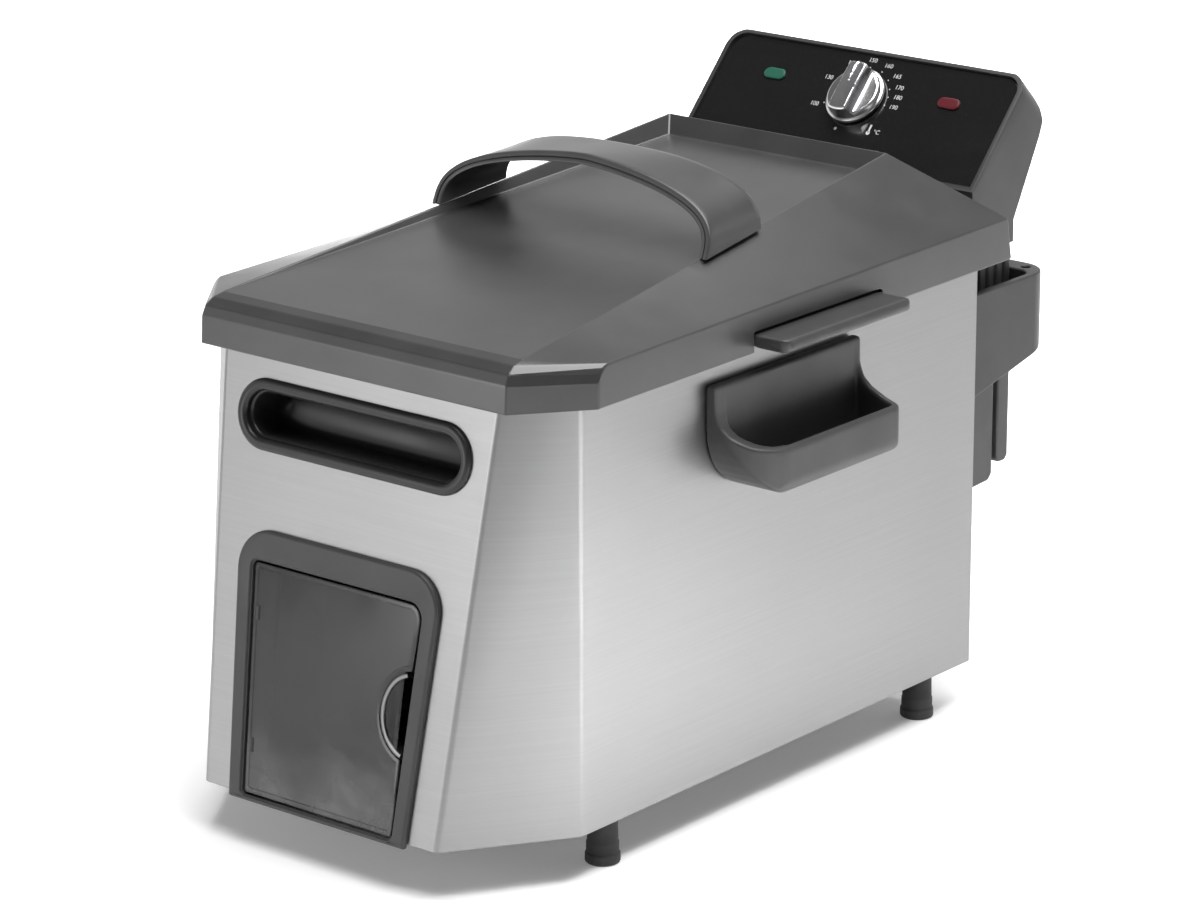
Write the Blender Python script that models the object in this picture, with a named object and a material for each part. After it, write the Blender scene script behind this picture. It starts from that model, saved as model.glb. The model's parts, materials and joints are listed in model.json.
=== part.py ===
"""Countertop deep fryer with a lift-off lid, drain compartment and rear control head."""
import math

import bmesh
import bpy
from mathutils import Vector

# Drawing sizes are in millimetres. X is across, Y runs from the front to the back.
# The drawing origin is the middle of the casing, level with its side corner and lower edge.
MM = 0.001
DRAW_BACK = 182.1
FOOT_HEIGHT = 26.0
GAP = 0.3

# Casing
CASE_HALF_W = 122.4
CASE_SIDE_Y = 2.0
CASE_BACK = 341.0
CASE_TOP = 228.0
SHEET = 1.0
FRONT_HALF_LOW = 79.7
FRONT_Y_LOW = -61.6
FRONT_HALF_HIGH = 92.3
FRONT_Y_HIGH = -24.9
FRONT_RISE = 225.0
CASE_FILLET = 5.0
CORNER_STEPS = 6
PLATE_THICK = 2.0
PANEL_THICK = 3.0
SCREW_X = 84.0
SCREW_FRONT_Y = 30.0
SCREW_REAR_Y = 310.0
SCREW_R = 3.4
SCREW_HEAD = 1.8

# Feet
FOOT_X = 110.0
FOOT_FRONT_Y = 33.4
FOOT_REAR_Y = 309.0
FOOT_R_TOP = 8.2
FOOT_R_LOW = 9.3
FOOT_GROOVE_Z = 6.0
FOOT_GROOVE_TALL = 5.0
FOOT_GROOVE_DEEP = 0.7

# Front handle recess
RECESS_V = 198.5
RECESS_HALF_W = 78.8
RECESS_HALF_H = 18.8
RECESS_RIM = 6.4
RECESS_DEPTH = 28.0
RECESS_PROUD = 3.0
RECESS_WALL = 2.4
CUT_IN = -12.0
CUT_OUT = 8.0

# Drain compartment
BEZEL_TOP_V = 140.0
BEZEL_LOW_V = -2.6
BEZEL_HALF_HIGH = 69.8
BEZEL_HALF_LOW = 60.6
DOOR_TOP_V = 122.8
DOOR_LOW_V = 1.2
DOOR_HALF_HIGH = 57.6
DOOR_HALF_LOW = 51.0
DOOR_THICK = 2.6
BEZEL_CORNER = 21.0
BEZEL_PROUD = 3.4
SLEEVE_DEPTH = 12.0
SLEEVE_LOW_V = 0.2
NOTCH_U = 57.0
NOTCH_V = 65.0
NOTCH_HALF_W = 20.5
NOTCH_HALF_H = 23.0
PULL_BAND = 2.6
PULL_DEPTH = 5.5
DOOR_FACE_W = 1.8
PINTLE_R = 1.3
PINTLE_LEN = 4.0
PINTLE_CLEAR = 0.35
HINGE_INSET = 2.2
BAY_DEPTH = 46.0
BAY_WALL = 1.6
HOSE_R = 5.5
HOSE_X = 24.0
HOSE_Y = -31.0
HOSE_LOW = 34.0
HOSE_TOP = 62.0
CAP_R = 6.8
CLIP_R = 8.0
CLIP_INNER_R = 5.9
CLIP_LOW = 46.0
CLIP_HIGH = 54.0
PIPE_R = 7.0
PIPE_Y = 36.0
PIPE_Z = 22.0

# Side handles
GRIP_Y0 = 100.8
GRIP_Y1 = 225.2
GRIP_TOP = 215.4
GRIP_LOW = 156.0
GRIP_REACH = 33.8
GRIP_PLATE = 6.5
GRIP_WALL = 4.0
GRIP_FRONT_WALL = 8.0
GRIP_UNDER = 9.0
GRIP_CORNER = 36.0
GRIP_PLAN_CORNER = 27.0

# Bowl and basket
BOWL_FLOOR = 42.0
BOWL_SHEET = 1.4
BOWL_LIP = 2.5
OUTLET_R = 4.5
BASKET_TOP = 214.0
BASKET_FLOOR = 78.0
BASKET_SHEET = 1.4
MESH_PITCH_X = 22.0
MESH_PITCH_Y = 27.0
MESH_FIRST_Y = 52.0
MESH_LEVELS = (100.0, 138.0, 176.0)
MESH_TALL = 28.0
MESH_HALF_X = 8.5
MESH_HALF_Y = 10.0
RAIL_X = 34.0
RAIL_R = 2.0

# Lid
LID_WALL = 1.8
RIDGE_BACK = (74.8, 319.6, 288.0)
TAB_Y0 = 131.2
TAB_Y1 = 239.0
TAB_LOW = 229.5
TAB_HIGH = 236.6
TAB_OUT = 152.0
TAB_CLEAR = 1.2
RIM_BACK = (132.0, 359.5, 229.5)
RIM_TOP = (130.8, 357.0, 252.5)
TRAY_BACK = (68.5, 311.0, 278.0)
# The skirt's front and side corners, from its lower edge up over the rounded top edge.
SKIRT_FRONT = [
    (102.6, -32.2, 226.5), (102.6, -31.4, 241.0), (102.3, -28.8, 246.4),
    (101.6, -23.8, 249.8), (100.7, -17.4, 251.3),
]
SKIRT_SIDE = [
    (132.0, 4.6, 226.5), (131.4, 5.2, 240.0), (131.2, 7.0, 244.2),
    (131.1, 9.4, 246.9), (131.0, 12.3, 248.3),
]

# Arch handle
ARCH_Y0 = 137.5
ARCH_Y1 = 190.5
ARCH_THICK = 5.6
ARCH_LEAN = 0.42
ARCH_FOOT_Z = 268.4
ARCH_FOOT_SLOPE = 5.8
ARCH_RISE = 38.8
ARCH_HALF = 94.0
HANDLE_SCREW_X = 80.0

# Control head
HEAD_HALF_W = 103.0
FASCIA_TILT = math.radians(44.0)
FASCIA_Y = 398.8
FASCIA_Z = 298.4
FASCIA_HALF_W = 99.6
KNOB_S = -6.0
KNOB_R = 18.0
KNOB_H = 13.0
LAMP_X = 60.7
FASCIA_THICK = 2.4
FASCIA_LOW_S = -48.6
FASCIA_HIGH_S = 22.4
FASCIA_CLEAR = 0.4
SPINDLE_R = 3.0
BASE_LOW = 172.0
BASE_HIGH = 225.4
BASE_FRONT = 344.6
BASE_BACK = 402.6
BASE_RIBS = 6
HEAD_FLOOR = 229.0
NECK_LOW = 233.0
NECK_HIGH = 243.0

# Heater
ELEMENT_R = 2.3
ELEMENT_Z = 60.0
ELEMENT_BACK = 301.0
ELEMENT_FRONT = 52.0
ELEMENT_X = 76.0
ELEMENT_LEG_X = 32.0
BULB_R = 2.2
BULB_Z = 66.0
GLAND_BORE_R = 3.5
GLAND_WEB = 1.0

# Rear guide
GUIDE_HALF_W = 119.0
GUIDE_BACK = 420.0
GUIDE_TOP = 210.0
GUIDE_FLOOR = 171.0
GUIDE_WALL = 4.5
GUIDE_POCKET_BACK = 405.0
WRAP_HALF_W = 110.0
WRAP_CORE_BACK = 377.5
WRAP_PLATE_FRONT = 381.5
WRAP_PLATE_BACK = 392.3


def clear_scene():
    for obj in list(bpy.data.objects):
        bpy.data.objects.remove(obj, do_unlink=True)


def place(x, y, z):
    """World position, in metres, of a point of the drawing."""
    return Vector((x * MM, (y - DRAW_BACK) * MM, (z + FOOT_HEIGHT) * MM))


def panel_point(u, v, w):
    """Point on the leaning front panel: across, up the slope, outwards."""
    run = FRONT_Y_HIGH - FRONT_Y_LOW
    length = math.hypot(run, FRONT_RISE)
    sy = run / length
    sz = FRONT_RISE / length
    return (u, FRONT_Y_LOW + v * sy - w * sz, v * sz + w * sy)


def fascia_point(u, s, w):
    """Point on the tilted fascia: across, up the slope from the lamps, outwards."""
    sy = math.sin(FASCIA_TILT)
    sz = math.cos(FASCIA_TILT)
    return (u, FASCIA_Y + s * sy - w * sz, FASCIA_Z + s * sz + w * sy)


MATERIALS = {}


def material(name, color, metallic=0.0, rough=0.5, alpha=1.0, clear=0.0):
    mat = bpy.data.materials.new(name)
    mat.use_nodes = True
    bsdf = mat.node_tree.nodes["Principled BSDF"]
    bsdf.inputs["Base Color"].default_value = (*color, 1.0)
    bsdf.inputs["Metallic"].default_value = metallic
    bsdf.inputs["Roughness"].default_value = rough
    bsdf.inputs["Alpha"].default_value = alpha
    bsdf.inputs["Transmission Weight"].default_value = clear
    MATERIALS[name] = mat
    return mat


def make_materials():
    material("brushed steel", (0.62, 0.62, 0.62), 1.0, 0.32)
    material("polished steel", (0.72, 0.72, 0.73), 1.0, 0.16)
    material("chrome", (0.86, 0.86, 0.87), 1.0, 0.06)
    material("dark grey plastic", (0.10, 0.10, 0.10), 0.0, 0.5)
    material("lid plastic", (0.12, 0.12, 0.12), 0.0, 0.45)
    material("black plastic", (0.02, 0.02, 0.02), 0.0, 0.45)
    material("gloss black", (0.008, 0.008, 0.008), 0.0, 0.12)
    material("smoked plastic", (0.06, 0.06, 0.06), 0.0, 0.12, 1.0, 0.6)
    material("rubber", (0.025, 0.025, 0.025), 0.0, 0.75)
    material("element tube", (0.20, 0.19, 0.18), 1.0, 0.42)
    material("green lens", (0.02, 0.20, 0.10), 0.0, 0.2)
    material("red lens", (0.30, 0.02, 0.03), 0.0, 0.2)


def finish(name, bm, mat):
    """Turn a bmesh drawn in millimetres of the drawing into a named object."""
    bmesh.ops.remove_doubles(bm, verts=bm.verts, dist=0.0005)
    for vert in bm.verts:
        vert.co = place(*vert.co)
    bmesh.ops.recalc_face_normals(bm, faces=bm.faces)
    mesh = bpy.data.meshes.new(name)
    bm.to_mesh(mesh)
    bm.free()
    obj = bpy.data.objects.new(name, mesh)
    bpy.context.collection.objects.link(obj)
    mesh.materials.append(MATERIALS[mat])
    return obj


def loft(name, loops, mat, ring=False):
    """Skin equal-length loops; the ends are capped unless they join into a ring."""
    bm = bmesh.new()
    rows = [[bm.verts.new(p) for p in loop] for loop in loops]
    count = len(rows[0])
    pairs = list(zip(rows, rows[1:]))
    if ring:
        pairs.append((rows[-1], rows[0]))
    for low, high in pairs:
        for i in range(count):
            j = (i + 1) % count
            bm.faces.new((low[i], low[j], high[j], high[i]))
    if not ring:
        bm.faces.new(rows[0])
        bm.faces.new(rows[-1])
    return finish(name, bm, mat)


def fillet(corners, radii, steps=CORNER_STEPS):
    """Closed loop through 2-D corners with each corner rounded."""
    out = []
    total = len(corners)
    for i, corner in enumerate(corners):
        radius = radii[i] if isinstance(radii, (list, tuple)) else radii
        p = Vector(corner)
        a = (Vector(corners[i - 1]) - p).normalized()
        b = (Vector(corners[(i + 1) % total]) - p).normalized()
        half = a.angle(b) / 2.0
        reach = radius / math.tan(half)
        centre = p + (a + b).normalized() * (radius / math.sin(half))
        start = p + a * reach - centre
        end = p + b * reach - centre
        sweep = start.angle(end)
        for k in range(steps + 1):
            t = k / steps
            if sweep < 1e-6:
                point = start
            else:
                low = math.sin((1.0 - t) * sweep) / math.sin(sweep)
                high = math.sin(t * sweep) / math.sin(sweep)
                point = start * low + end * high
            out.append(tuple(centre + point))
    return out


def shrink(corners, amount):
    """Move every side of a closed counter-clockwise outline inwards."""
    out = []
    total = len(corners)
    for i in range(total):
        p = Vector(corners[i])
        a = (p - Vector(corners[i - 1])).normalized()
        b = (Vector(corners[(i + 1) % total]) - p).normalized()
        na = Vector((-a.y, a.x))
        nb = Vector((-b.y, b.x))
        out.append(tuple(p + (na + nb) * (amount / (1.0 + na.dot(nb)))))
    return out


def soft_box(name, low, high, mat, radius=0.8):
    """Box between two corners of the drawing, with small rounded edges."""
    bm = bmesh.new()
    bmesh.ops.create_cube(bm, size=1.0)
    for vert in bm.verts:
        for k in range(3):
            vert.co[k] = low[k] + (vert.co[k] + 0.5) * (high[k] - low[k])
    if radius > 0.0:
        edges = list(bm.edges)
        bmesh.ops.bevel(bm, geom=edges, offset=radius, segments=2, affect="EDGES", profile=0.5)
    return finish(name, bm, mat)


def prism(name, outline, axis, start, end, mat):
    """Extrude a 2-D outline of the two other axes along the named axis."""
    def point(p, t):
        if axis == "x":
            return (t, p[0], p[1])
        if axis == "y":
            return (p[0], t, p[1])
        return (p[0], p[1], t)
    return loft(name, [[point(p, start) for p in outline], [point(p, end) for p in outline]], mat)


def apply_modifiers(obj):
    graph = bpy.context.evaluated_depsgraph_get()
    mesh = bpy.data.meshes.new_from_object(obj.evaluated_get(graph))
    obj.modifiers.clear()
    obj.data = mesh


def combine(obj, tool, operation):
    """Boolean one object with another and discard the tool."""
    mod = obj.modifiers.new("shape", "BOOLEAN")
    mod.operation = operation
    mod.solver = "EXACT"
    mod.object = tool
    apply_modifiers(obj)
    bpy.data.objects.remove(tool, do_unlink=True)


def cut_box(obj, low, high):
    combine(obj, soft_box("cutter", low, high, "black plastic", 0.0), "DIFFERENCE")


def disc_loop(centre, axis_u, axis_v, radius, count):
    loop = []
    for i in range(count):
        angle = 2.0 * math.pi * i / count
        across = axis_u * (radius * math.cos(angle))
        loop.append(tuple(centre + across + axis_v * (radius * math.sin(angle))))
    return loop


def arc(start, end, count):
    """Angles between two multiples of pi, evenly spaced."""
    return [math.pi * (start + (end - start) * k / (count - 1)) for k in range(count)]


def turned(name, base, axis, profile, mat, count=40):
    """Solid of revolution: profile is a list of (distance along the axis, radius)."""
    axis = Vector(axis).normalized()
    side = axis.orthogonal().normalized()
    other = axis.cross(side)
    base = Vector(base)
    return loft(name, [disc_loop(base + axis * h, side, other, r, count) for h, r in profile], mat)


def round_path(points, radius, steps=6):
    """Polyline with its inner corners turned into arcs."""
    out = [Vector(points[0])]
    for a, p, b in zip(points, points[1:], points[2:]):
        p = Vector(p)
        start = p + (Vector(a) - p).normalized() * radius
        end = p + (Vector(b) - p).normalized() * radius
        for k in range(steps + 1):
            t = k / steps
            out.append(start * (1 - t) ** 2 + p * (2 * t * (1 - t)) + end * t ** 2)
    out.append(Vector(points[-1]))
    return out


def tube(name, path, radius, mat, count=14):
    """Round bar along a path."""
    tangents = []
    for i in range(len(path)):
        a = path[max(i - 1, 0)]
        b = path[min(i + 1, len(path) - 1)]
        tangents.append((b - a).normalized())
    side = tangents[0].orthogonal().normalized()
    loops = []
    for point, tangent in zip(path, tangents):
        side = (side - tangent * side.dot(tangent)).normalized()
        loops.append(disc_loop(point, side, tangent.cross(side), radius, count))
    return loft(name, loops, mat)


def pivot(obj, x, y, z):
    """Put the object's origin on a point of the drawing without moving its surface."""
    where = place(x, y, z)
    for vert in obj.data.vertices:
        vert.co -= where
    obj.location = where


# ---------------------------------------------------------------- casing

def case_corners(z, inset):
    """Plan outline of the casing at a height, moved inwards by an inset."""
    t = z / FRONT_RISE
    half = FRONT_HALF_LOW + (FRONT_HALF_HIGH - FRONT_HALF_LOW) * t
    front = FRONT_Y_LOW + (FRONT_Y_HIGH - FRONT_Y_LOW) * t
    outline = [
        (CASE_HALF_W, CASE_BACK), (-CASE_HALF_W, CASE_BACK), (-CASE_HALF_W, CASE_SIDE_Y),
        (-half, front), (half, front), (CASE_HALF_W, CASE_SIDE_Y),
    ]
    return shrink(outline, inset)


def case_wrap_loop(z):
    """Closed outline of the folded sheet: front, two chamfers and two sides."""
    outer = case_corners(z, 0.0)
    inner = case_corners(z, SHEET)
    path_out = fillet(outer, CASE_FILLET)
    path_in = fillet(inner, CASE_FILLET - SHEET)
    keep = (CORNER_STEPS + 1) * 2
    half = CASE_HALF_W
    path_out = [(-half, CASE_BACK)] + path_out[keep:] + [(half, CASE_BACK)]
    half = CASE_HALF_W - SHEET
    path_in = [(-half, CASE_BACK)] + path_in[keep:] + [(half, CASE_BACK)]
    return [(x, y, z) for x, y in path_out + path_in[::-1]]


def stadium(half_w, half_h, v0, steps=12):
    loop = []
    for side in (1.0, -1.0):
        for k in range(steps + 1):
            angle = -math.pi / 2.0 + math.pi * k / steps
            if side < 0.0:
                angle += math.pi
            cx = side * (half_w - half_h)
            loop.append((cx + half_h * math.cos(angle), v0 + half_h * math.sin(angle)))
    return loop


def on_panel(loop, w):
    return [panel_point(u, v, w) for u, v in loop]


def bezel_outline(inset, low=None):
    corners = [
        (BEZEL_HALF_LOW, BEZEL_LOW_V), (BEZEL_HALF_HIGH, BEZEL_TOP_V),
        (-BEZEL_HALF_HIGH, BEZEL_TOP_V), (-BEZEL_HALF_LOW, BEZEL_LOW_V),
    ]
    corners = shrink(corners, inset)
    if low is not None:
        corners[0] = (corners[0][0], low)
        corners[3] = (corners[3][0], low)
    big = BEZEL_CORNER - inset
    return fillet(corners, [1.5, big, big, 1.5])


def door_outline(inset):
    corners = [
        (DOOR_HALF_LOW, DOOR_LOW_V), (DOOR_HALF_HIGH, DOOR_TOP_V),
        (-DOOR_HALF_HIGH, DOOR_TOP_V), (-DOOR_HALF_LOW, DOOR_LOW_V),
    ]
    corners = shrink(corners, inset)
    return fillet(corners, [2.5, 8.0, 3.0, 2.5])


def build_outer_casing():
    casing = loft("outer_casing", [case_wrap_loop(0.0), case_wrap_loop(CASE_TOP)], "brushed steel")
    hole = stadium(RECESS_HALF_W - 2.5, RECESS_HALF_H - 2.5, RECESS_V)
    cutter = loft("cutter", [on_panel(hole, CUT_IN), on_panel(hole, CUT_OUT)], "black plastic")
    combine(casing, cutter, "DIFFERENCE")
    hole = bezel_outline(3.0, -20.0)
    cutter = loft("cutter", [on_panel(hole, CUT_IN), on_panel(hole, CUT_OUT)], "black plastic")
    combine(casing, cutter, "DIFFERENCE")
    return casing


def build_base_plate():
    low = fillet(case_corners(1.6, SHEET + GAP), 3.5)
    loops = [[(x, y, z) for x, y in low] for z in (0.0, PLATE_THICK)]
    plate = loft("base_plate", loops, "black plastic")
    notch = BEZEL_HALF_LOW - 0.1
    cut_box(plate, (-notch, -70.0, -5.0), (notch, -40.0, 10.0))
    return plate


def build_rear_panel():
    half = CASE_HALF_W - SHEET - GAP
    low = (-half, CASE_BACK - PANEL_THICK, PLATE_THICK + GAP)
    return soft_box("rear_panel", low, (half, CASE_BACK, CASE_TOP), "dark grey plastic", 0.5)


def build_feet():
    groove = FOOT_R_LOW - FOOT_GROOVE_DEEP
    groove_top = FOOT_GROOVE_Z + FOOT_GROOVE_TALL
    profile = [
        (0.0, FOOT_R_LOW - 0.8), (0.8, FOOT_R_LOW), (FOOT_GROOVE_Z - 1.0, FOOT_R_LOW),
        (FOOT_GROOVE_Z, groove), (groove_top, groove), (groove_top + 1.0, FOOT_R_TOP),
        (FOOT_HEIGHT - GAP, FOOT_R_TOP - 0.3),
    ]
    for side, x in (("right", FOOT_X), ("left", -FOOT_X)):
        for end, y in (("front", FOOT_FRONT_Y), ("rear", FOOT_REAR_Y)):
            turned(f"foot_{end}_{side}", (x, y, -FOOT_HEIGHT), (0, 0, 1), profile, "rubber", 28)


def build_base_screws():
    profile = [(0.0, SCREW_R - 1.0), (0.6, SCREW_R), (SCREW_HEAD, SCREW_R)]
    for side, x in (("right", SCREW_X), ("left", -SCREW_X)):
        for end, y in (("front", SCREW_FRONT_Y), ("rear", SCREW_REAR_Y)):
            base = (x, y, -SCREW_HEAD - GAP)
            turned(f"base_screw_{end}_{side}", base, (0, 0, 1), profile, "polished steel", 20)


# ---------------------------------------------------------------- front handle recess

def build_front_recess():
    def ring(inset_w, inset_h, lift=0.0):
        return stadium(RECESS_HALF_W - inset_w, RECESS_HALF_H - inset_h, RECESS_V + lift)

    outer = ring(0.0, 0.0)
    edge = ring(1.4, 1.4)
    mouth = ring(RECESS_RIM - 1.2, RECESS_RIM - 1.2)
    throat = ring(RECESS_RIM, RECESS_RIM)
    wall = ring(3.2, 3.2)
    floor = ring(RECESS_RIM + 3.0, RECESS_RIM + 1.0, 1.0)
    back = ring(5.0, 4.0, 1.0)
    loops = [
        on_panel(back, -RECESS_DEPTH), on_panel(wall, -4.0), on_panel(wall, GAP),
        on_panel(outer, GAP), on_panel(outer, 1.6), on_panel(edge, RECESS_PROUD),
        on_panel(mouth, RECESS_PROUD), on_panel(throat, 1.4), on_panel(throat, -6.0),
        on_panel(floor, RECESS_WALL - RECESS_DEPTH),
    ]
    return loft("front_handle_cup", loops, "dark grey plastic")


# ---------------------------------------------------------------- drain compartment

def hinge_line():
    """Two points (across, up) on the door's pivot line."""
    span = DOOR_TOP_V - DOOR_LOW_V
    slope = (DOOR_HALF_HIGH - DOOR_HALF_LOW) / span
    low = (-DOOR_HALF_LOW + HINGE_INSET, DOOR_LOW_V)
    high = (-DOOR_HALF_LOW + HINGE_INSET - slope * span, DOOR_TOP_V)
    return low, high


def build_drain_bezel():
    flange = bezel_outline(0.0)
    edge = bezel_outline(1.4)
    sleeve = bezel_outline(3.4, SLEEVE_LOW_V)
    mouth = door_outline(-1.8)
    throat = door_outline(-0.7)
    loops = [
        on_panel(sleeve, -SLEEVE_DEPTH), on_panel(sleeve, GAP), on_panel(flange, GAP),
        on_panel(flange, 2.0), on_panel(edge, BEZEL_PROUD), on_panel(mouth, BEZEL_PROUD),
        on_panel(throat, BEZEL_PROUD - 1.0), on_panel(throat, -SLEEVE_DEPTH),
    ]
    bezel = loft("drain_bezel", loops, "dark grey plastic", True)
    low, high = hinge_line()
    reach = Vector((high[0] - low[0], high[1] - low[1])).normalized() * (PINTLE_LEN + 1.2)
    w = DOOR_FACE_W - DOOR_THICK / 2.0
    for end, sign in ((low, -1.0), (high, 1.0)):
        start = Vector(panel_point(end[0] - reach.x * sign, end[1] - reach.y * sign, w))
        stop = Vector(panel_point(end[0] + reach.x * sign, end[1] + reach.y * sign, w))
        socket = tube("cutter", [start, stop], PINTLE_R + PINTLE_CLEAR, "black plastic", 16)
        combine(bezel, socket, "DIFFERENCE")
    return bezel


def notch_loop(grow, start=0.5):
    """D-shaped finger notch in the door's free edge."""
    loop = []
    for angle in arc(start, 2.0 - start, 17):
        u = NOTCH_U + (NOTCH_HALF_W + grow) * math.cos(angle)
        v = NOTCH_V + (NOTCH_HALF_H + grow) * math.sin(angle)
        loop.append((u, v))
    return loop


def build_drain_door():
    back_w = DOOR_FACE_W - DOOR_THICK
    full = door_outline(0.0)
    eased = door_outline(0.5)
    loops = [
        on_panel(eased, back_w), on_panel(full, back_w + 0.5),
        on_panel(full, DOOR_FACE_W - 0.5), on_panel(eased, DOOR_FACE_W),
    ]
    door = loft("drain_door", loops, "smoked plastic")
    past_edge = DOOR_HALF_HIGH + 12.4
    outline = notch_loop(0.0)
    outline += [(past_edge, NOTCH_V - NOTCH_HALF_H), (past_edge, NOTCH_V + NOTCH_HALF_H)]
    cutter = loft("cutter", [on_panel(outline, -6.0), on_panel(outline, 6.0)], "black plastic")
    combine(door, cutter, "DIFFERENCE")
    low, high = hinge_line()
    axis = Vector((high[0] - low[0], high[1] - low[1])).normalized()
    w = DOOR_FACE_W - DOOR_THICK / 2.0
    root = 6.0
    for end, sign in ((low, -1.0), (high, 1.0)):
        along = Vector(end) - axis * (sign * root)
        a = Vector(panel_point(along.x, along.y, w))
        along = Vector(end) + axis * (sign * PINTLE_LEN)
        b = Vector(panel_point(along.x, along.y, w))
        combine(door, tube("cutter", [a, b], PINTLE_R - 0.05, "smoked plastic", 16), "UNION")
    pivot(door, *panel_point(low[0], low[1], w))
    return door


def build_door_pull():
    outer = notch_loop(-GAP, 0.58)
    inner = notch_loop(-PULL_BAND, 0.58)
    loop = outer + inner[::-1]
    return loft("door_pull", [on_panel(loop, -PULL_DEPTH), on_panel(loop, DOOR_FACE_W + 0.6)], "chrome")


def bay_loop(half, low, high, w):
    corners = [(half, low), (half + 3.0, high), (-half - 3.0, high), (-half, low)]
    return on_panel(fillet(corners, 6.0), w)


def build_bay_liner():
    mouth_w = -SLEEVE_DEPTH - GAP
    loops = [
        bay_loop(46.0, 13.5, 110.0, -BAY_DEPTH), bay_loop(48.6, 6.0, 117.6, mouth_w),
        bay_loop(48.6 - BAY_WALL, 6.0 + BAY_WALL, 117.6 - BAY_WALL, mouth_w),
        bay_loop(46.0 - BAY_WALL, 13.5 + BAY_WALL, 110.0 - BAY_WALL, BAY_WALL - BAY_DEPTH),
    ]
    return loft("drain_bay_liner", loops, "black plastic")


def ring_point(radius, angle):
    return (HOSE_X + radius * math.cos(angle), HOSE_Y + radius * math.sin(angle))


def build_drain_parts():
    left = HOSE_X - 46.0
    corners = [(left, -15.0, HOSE_LOW), (left, HOSE_Y, HOSE_LOW), (HOSE_X, HOSE_Y, HOSE_LOW),
               (HOSE_X, HOSE_Y, HOSE_TOP)]
    tube("drain_hose", round_path(corners, 9.0), HOSE_R, "rubber", 16)
    base = (HOSE_X, HOSE_Y, HOSE_TOP + GAP)
    profile = [(0, CAP_R), (9, CAP_R), (10, CAP_R - 0.8), (12, CAP_R - 0.8)]
    cap = turned("hose_cap", base, (0, 0, 1), profile, "black plastic", 28)
    pivot(cap, *base)
    turn = arc(-0.15, 1.15, 18)
    clip = [ring_point(CLIP_R, a) for a in turn] + [ring_point(CLIP_INNER_R, a) for a in turn[::-1]]
    prism("hose_clip", clip, "z", CLIP_LOW, CLIP_HIGH, "black plastic")
    pipe = round_path([(0, PIPE_Y, BOWL_FLOOR - 4.0), (0, PIPE_Y, PIPE_Z), (0, -6.5, PIPE_Z)], 9.0)
    tube("drain_pipe", pipe, PIPE_R, "polished steel", 18)


# ---------------------------------------------------------------- side handles

def grip_profile():
    """Section of the handle: wall plate, sweep down to the lip, and the underside."""
    x = CASE_HALF_W + GAP
    plate = x + GRIP_PLATE
    lip = x + GRIP_REACH
    centre = (lip - GRIP_UNDER, GRIP_LOW + GRIP_UNDER)
    turns = arc(0.0, 0.5, 8)
    under = [(centre[0] + GRIP_UNDER * math.cos(a), centre[1] - GRIP_UNDER * math.sin(a)) for a in turns]
    return [
        (x, GRIP_LOW + 3.0), (x, GRIP_TOP - 1.5), (x + 1.2, GRIP_TOP), (plate - 1.5, GRIP_TOP),
        (plate, GRIP_TOP - 1.5), (plate + 0.6, 200.0), (plate + 3.0, 194.0),
        (plate + 8.0, 189.6), (plate + 17.0, 185.2), (lip - 1.5, 182.4),
        (lip, 180.8), *under, (x + 3.0, GRIP_LOW),
    ]


def grip_solid(inset, front_inset, x0, top):
    """Block with the rounded front-lower and front-outer corners of the handle."""
    x1 = CASE_HALF_W + GAP + GRIP_REACH - inset
    y0 = GRIP_Y0 + front_inset
    y1 = GRIP_Y1 - inset
    z0 = GRIP_LOW + inset
    small = max(1.5, 4.0 - inset)
    corners = [(y0, z0), (y1, z0), (y1, top), (y0, top)]
    side = fillet(corners, [GRIP_CORNER - inset, small, 0.4, 0.4], 9)
    body = prism("cutter", side, "x", x0 - 2.0, x1 + 2.0, "dark grey plastic")
    corners = [(x0, y0 - 0.05), (x1, y0 - 0.05), (x1, y1 + 0.05), (x0, y1 + 0.05)]
    big = min(GRIP_PLAN_CORNER - inset, x1 - x0 - 1.0)
    plan = fillet(corners, [0.4, big, small, 0.4], 9)
    other = prism("cutter", plan, "z", z0 - 1.0, top + 1.0, "dark grey plastic")
    combine(body, other, "INTERSECT")
    return body


def build_side_handle(side):
    handle = prism(f"side_handle_{side}", grip_profile(), "y", GRIP_Y0, GRIP_Y1, "dark grey plastic")
    combine(handle, grip_solid(0.0, 0.0, CASE_HALF_W, GRIP_TOP + 2.0), "INTERSECT")
    pocket = grip_solid(GRIP_WALL, GRIP_FRONT_WALL, CASE_HALF_W + GAP + GRIP_PLATE, GRIP_TOP + 20.0)
    combine(handle, pocket, "DIFFERENCE")
    if side == "left":
        for vert in handle.data.vertices:
            vert.co.x = -vert.co.x
        handle.data.flip_normals()
    return handle


# ---------------------------------------------------------------- bowl and basket

def tub_loop(half, front, back, chamfer, z, radius, steps=5):
    corners = [
        (half, back), (-half, back), (-half, front + chamfer * 0.8),
        (-half + chamfer, front), (half - chamfer, front), (half, front + chamfer * 0.8),
    ]
    return [(x, y, z) for x, y in fillet(corners, radius, steps)]


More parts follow.
